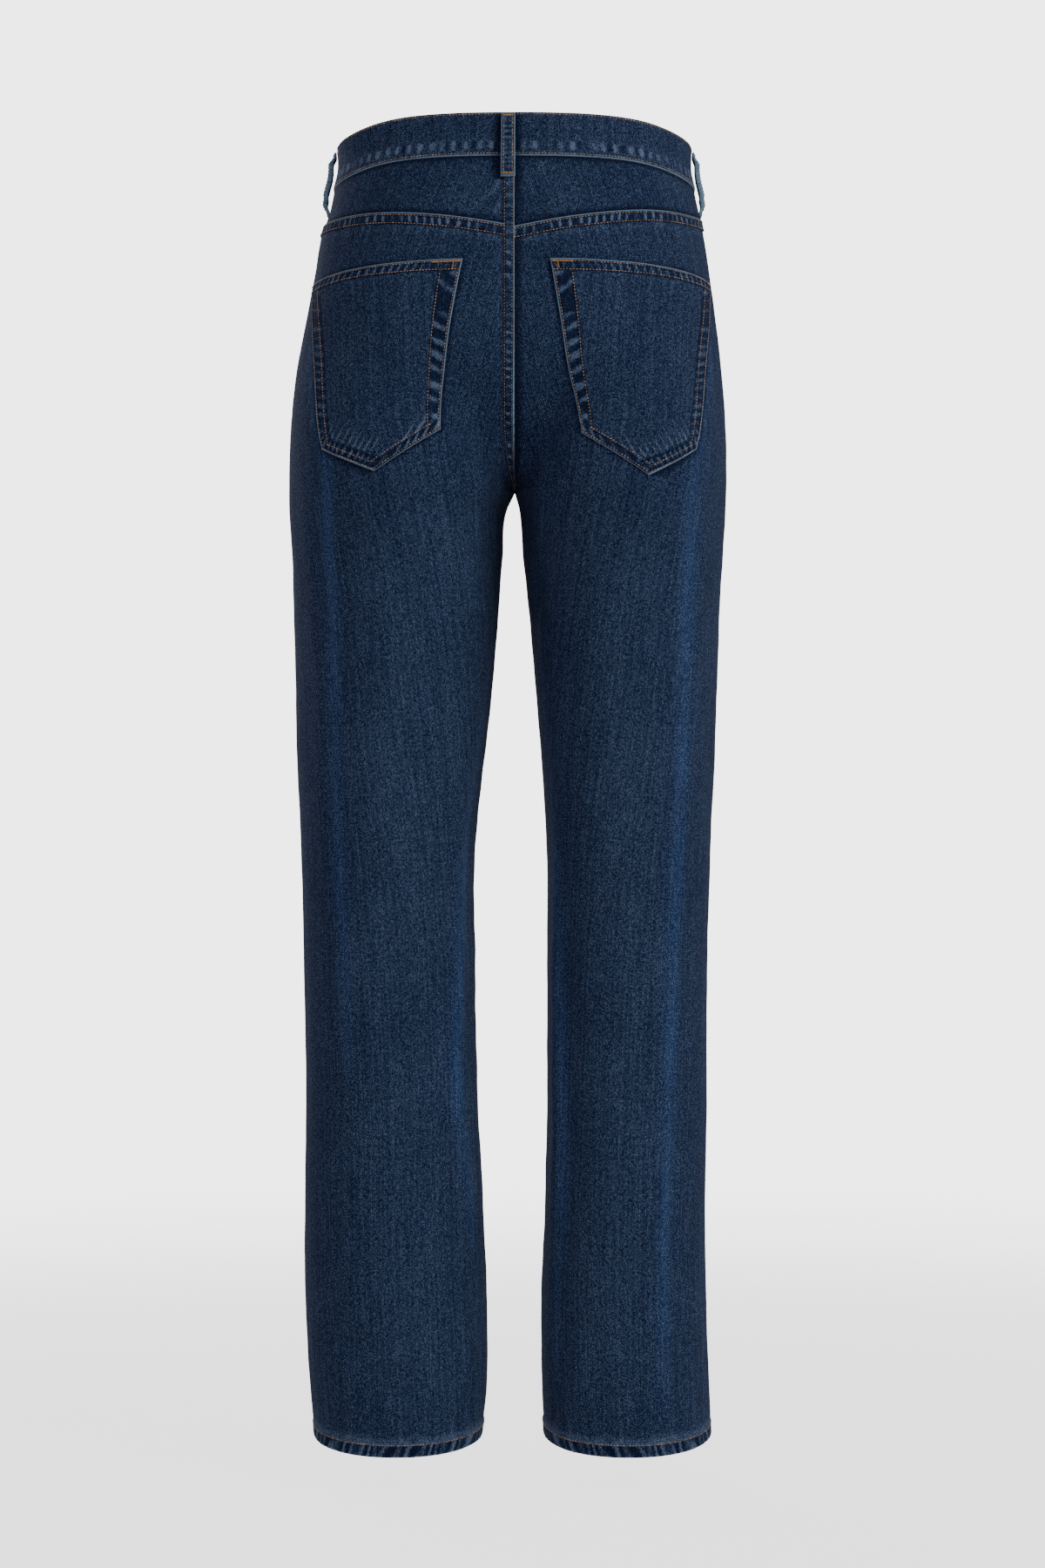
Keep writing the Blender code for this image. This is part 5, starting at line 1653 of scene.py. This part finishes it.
class JeansSizes(bpy.types.PropertyGroup):
    """Sizes of the cloth and of the sewing."""

    cloth: a_length("Cloth", "Thickness of one layer of denim", 0.0010)
    spacing: a_length("Mesh spacing", "Distance between rows of the legs' mesh", 0.0042)
    pitch: a_length("Stitch pitch", "Distance from one stitch to the next", 0.0026)
    stitch: a_length("Stitch", "Length of thread that shows in one stitch", 0.0019)
    thread: a_length("Thread", "Thickness of the topstitching thread", 0.00084)


class JeansColours(bpy.types.PropertyGroup):
    """Colours of the denim and the thread."""

    shade: a_colour("Shade", "Darkest indigo, in hollows", (0.0009, 0.0050, 0.027))
    indigo: a_colour("Indigo", "Main colour of the denim", (0.0068, 0.0270, 0.091))
    washed: a_colour("Washed", "Indigo where it has washed out", (0.042, 0.090, 0.200))
    worn: a_colour("Worn", "Denim worn down to its weft", (0.195, 0.280, 0.405))
    edge: a_colour("Edge", "Folded edges, rubbed pale", (0.400, 0.630, 0.800))
    # colour of the painted highlight on pressed ridges, partly wear
    bloom: a_colour("Bloom", "Clear blue added on pressed ridges", (0.004, 0.022, 0.075))
    inside: a_colour("Inside", "Wrong side of the denim", (0.300, 0.360, 0.400))
    inside_dark: a_colour("Inside flecks", "Indigo flecks inside", (0.070, 0.110, 0.170))
    thread: a_colour("Thread", "Topstitching thread", (0.640, 0.410, 0.235))
    thread_bright: a_colour("Bartack thread", "Thread of the bartacks", (0.900, 0.350, 0.100))


class StageSettings(bpy.types.PropertyGroup):
    """Floor, light and camera."""

    distance: a_length("Camera distance", "From the centre of the waist", 3.0)
    height: a_length("Camera height", "Above the origin", -0.512)
    shift: a_length("Camera sideways", "Across the view", -0.0065)
    frame_height: a_length("Frame height", "Height seen at the waist's distance", 1.3073)
    drop: a_length("Floor below hems", "Gap between the hems and the floor", 0.030)
    floor: a_colour("Floor", "Colour of the floor", (0.86, 0.86, 0.86))
    backdrop: a_strength("Backdrop", "Brightness of the white background, as seen", 4.0)
    ambient: a_strength("Ambient", "Light that the background gives", 0.24)
    sky: a_colour("Ambient colour", "Tint of that light", (0.92, 0.85, 1.0))
    key: a_power("Key light", "Power of the main light", 39.0)
    fill: a_power("Fill light", "Power of the light opposite", 4.0)


class JeansOperator:
    """What the operators share."""

    bl_options = {"REGISTER", "UNDO"}

    @property
    def sizes(self):
        return bpy.context.scene.jeans_sizes

    @property
    def sewing(self):
        """How the stitches of the long seams are made."""
        return {"pitch": self.sizes.pitch, "length": self.sizes.stitch, "thick": self.sizes.thread}


class JEANS_OT_finishes(JeansOperator, bpy.types.Operator):
    """Make the materials of the denim, the thread and the button"""

    bl_idname = "jeans.finishes"
    bl_label = "Finishes"

    def execute(self, context):
        colours = context.scene.jeans_colours
        denim_finish(colours)
        inside_finish(colours)
        thread_finish("thread", colours.thread)
        thread_finish("thread_bright", colours.thread_bright)
        metal_finish()
        return {"FINISHED"}


class JEANS_OT_backs(JeansOperator, bpy.types.Operator):
    """Make the back legs, with the felled seat and yoke seams"""

    bl_idname = "jeans.backs"
    bl_label = "Back legs"

    def execute(self, context):
        sizes = self.sizes
        for side in SIDES:
            piece = back_panel(side, sizes.spacing, sizes.cloth)
            parts = [yoke_lap(side), hem_band(side)]
            rows = yoke_rows(side)
            sewn = [sew(f"stitches_back_{side}", rows, seed=11, **self.sewing)]
            flat_thread = dict(self.sewing, length=sizes.pitch * HEM_STITCH)
            sewn.append(sew(f"stitches_hem_{side}", hem_rows(side), seed=12, **flat_thread))
            if side == "left":
                parts.append(seat_lap())
                worn_thread = dict(self.sewing, thick=sizes.thread * SEAT_THREAD)
                sewn.append(sew("stitches_seat", seat_rows(), seed=17, **worn_thread))
            dress(piece, f"back_{side}", (*parts, *sewn))
        return {"FINISHED"}


class JEANS_OT_fronts(JeansOperator, bpy.types.Operator):
    """Make the front legs, with the fly and the scoops of the pockets"""

    bl_idname = "jeans.fronts"
    bl_label = "Front legs"

    def execute(self, context):
        sizes = self.sizes
        for side in SIDES:
            piece = front_panel(side, sizes.spacing, sizes.cloth)
            rows = scoop_rows(side) + (fly_rows() if side == "left" else [])
            stitches = sew(f"stitches_front_{side}", rows, seed=13, **self.sewing)
            dress(piece, f"front_{side}", (stitches,))
        return {"FINISHED"}


class JEANS_OT_yokes(JeansOperator, bpy.types.Operator):
    """Make the two back yokes"""

    bl_idname = "jeans.yokes"
    bl_label = "Yokes"

    def execute(self, context):
        for side in SIDES:
            dress(yoke_panel(side, self.sizes.cloth), f"yoke_{side}")
        return {"FINISHED"}


class JEANS_OT_pockets(JeansOperator, bpy.types.Operator):
    """Make the back pockets and the facings of the front pockets"""

    bl_idname = "jeans.pockets"
    bl_label = "Pockets"

    def execute(self, context):
        for side in SIDES:
            piece = back_pocket(side)
            rows = [on_panel(side, *row) for row in pocket_rows(side)]
            stitches = sew(f"stitches_pocket_{side}", rows, seed=14, **self.sewing)
            stitches = join(f"stitches_pocket_{side}", [stitches, bars("tacks", pocket_tacks(side))])
            dress(piece, f"pocket_back_{side}", (stitches,))
            dress(facing_panel(side, self.sizes.cloth), f"pocket_facing_{side}")
        return {"FINISHED"}


class JEANS_OT_waistband(JeansOperator, bpy.types.Operator):
    """Make the waistband, its belt loops and the button"""

    bl_idname = "jeans.waistband"
    bl_label = "Waistband"

    def execute(self, context):
        stitches = sew("stitches_waistband", band_rows(), seed=15, **self.sewing)
        hole = sew("stitches_buttonhole", [buttonhole_row()], "thread", HOLE_PITCH, HOLE_STITCH, HOLE_THREAD,
                   math.pi / 2.0, 16)
        stitches = join("stitches_waistband", [stitches, hole])
        dress(waistband(), "waistband", (stitches,))
        for loop in LOOPS:
            dress(belt_loop(loop), loop.name, (loop_sewing(loop),))
        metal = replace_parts(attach(button(), ROOT), "button")
        return {"FINISHED"}


class JEANS_OT_stage(bpy.types.Operator):
    """Lay the floor, hang the lights and set the camera"""

    bl_idname = "jeans.stage"
    bl_label = "Stage"

    def execute(self, context):
        scene, stage = context.scene, context.scene.jeans_stage
        low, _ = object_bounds()
        bpy.ops.mesh.primitive_circle_add(vertices=96, radius=3.0, fill_type="NGON", location=(0, 0, 0))
        floor = context.active_object
        floor.name = "studio_floor"
        floor.data.transform(floor.matrix_world.Translation((0.0, 0.0, low[2] - stage.drop)))
        floor.data.materials.append(floor_finish(stage.floor))
        floor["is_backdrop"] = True
        lights = (
            ("key", stage.key, (-2.6, 2.1, 1.1), 1.9),
            ("fill", stage.fill, (2.6, 1.8, 0.4), 2.2),
            ("front", stage.key * 0.8, (1.6, -2.8, 1.2), 2.2),
            ("top", stage.fill, (0.0, 0.4, 2.4), 2.0),
        )
        target = Vector((0.0, 0.0, -0.5))
        for name, power, place, size in lights:
            data = bpy.data.lights.new(name, "AREA")
            data.energy, data.size = power, size
            lamp = show(name, data)
            lamp.location = place
            lamp.rotation_euler = (target - lamp.location).to_track_quat("-Z", "Y").to_euler()
        world = bpy.data.worlds.new("studio")
        world.use_nodes = True
        maker = Maker(world.node_tree)
        background = world.node_tree.nodes["Background"]
        seen = maker.node("ShaderNodeLightPath")
        tint = maker.mix(seen, stage.sky, (1.0, 1.0, 1.0))
        world.node_tree.links.new(tint.socket, background.inputs["Color"])
        strength = seen * (stage.backdrop - stage.ambient) + stage.ambient
        world.node_tree.links.new(strength.socket, background.inputs["Strength"])
        scene.world = world
        data = bpy.data.cameras.new("camera")
        data.sensor_fit, data.sensor_height = "VERTICAL", 36.0
        data.lens = data.sensor_height * stage.distance / stage.frame_height
        camera = show("camera", data)
        camera.location = (stage.shift, stage.distance, stage.height)
        camera.rotation_euler = (math.pi / 2.0, 0.0, math.pi)
        scene.camera = camera
        return {"FINISHED"}


class JEANS_PT_panel(bpy.types.Panel):
    """Sizes, colours and the steps of making the jeans"""

    bl_idname = "JEANS_PT_panel"
    bl_label = "Jeans"
    bl_space_type = "VIEW_3D"
    bl_region_type = "UI"
    bl_category = "Jeans"

    def draw(self, context):
        for group in (context.scene.jeans_sizes, context.scene.jeans_colours, context.scene.jeans_stage):
            box = self.layout.box()
            for name in group.bl_rna.properties.keys():
                if name not in ("rna_type", "name"):
                    box.prop(group, name)
        for step in STEPS:
            self.layout.operator(step.bl_idname)


GROUPS = {"jeans_sizes": JeansSizes, "jeans_colours": JeansColours, "jeans_stage": StageSettings}
STEPS = (JEANS_OT_finishes, JEANS_OT_backs, JEANS_OT_fronts, JEANS_OT_yokes, JEANS_OT_pockets,
         JEANS_OT_waistband, JEANS_OT_stage)


def register():
    for kind in (*GROUPS.values(), *STEPS, JEANS_PT_panel):
        bpy.utils.register_class(kind)
    for name, kind in GROUPS.items():
        setattr(bpy.types.Scene, name, bpy.props.PointerProperty(type=kind))


def unregister():
    for name in GROUPS:
        delattr(bpy.types.Scene, name)
    for kind in (JEANS_PT_panel, *reversed(STEPS), *reversed(list(GROUPS.values()))):
        bpy.utils.unregister_class(kind)


def main():
    """Make the jeans step by step."""
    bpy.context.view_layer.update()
    register()
    for step in STEPS:
        group, name = step.bl_idname.split(".")
        getattr(getattr(bpy.ops, group), name)()


if __name__ == "__main__":
    main()
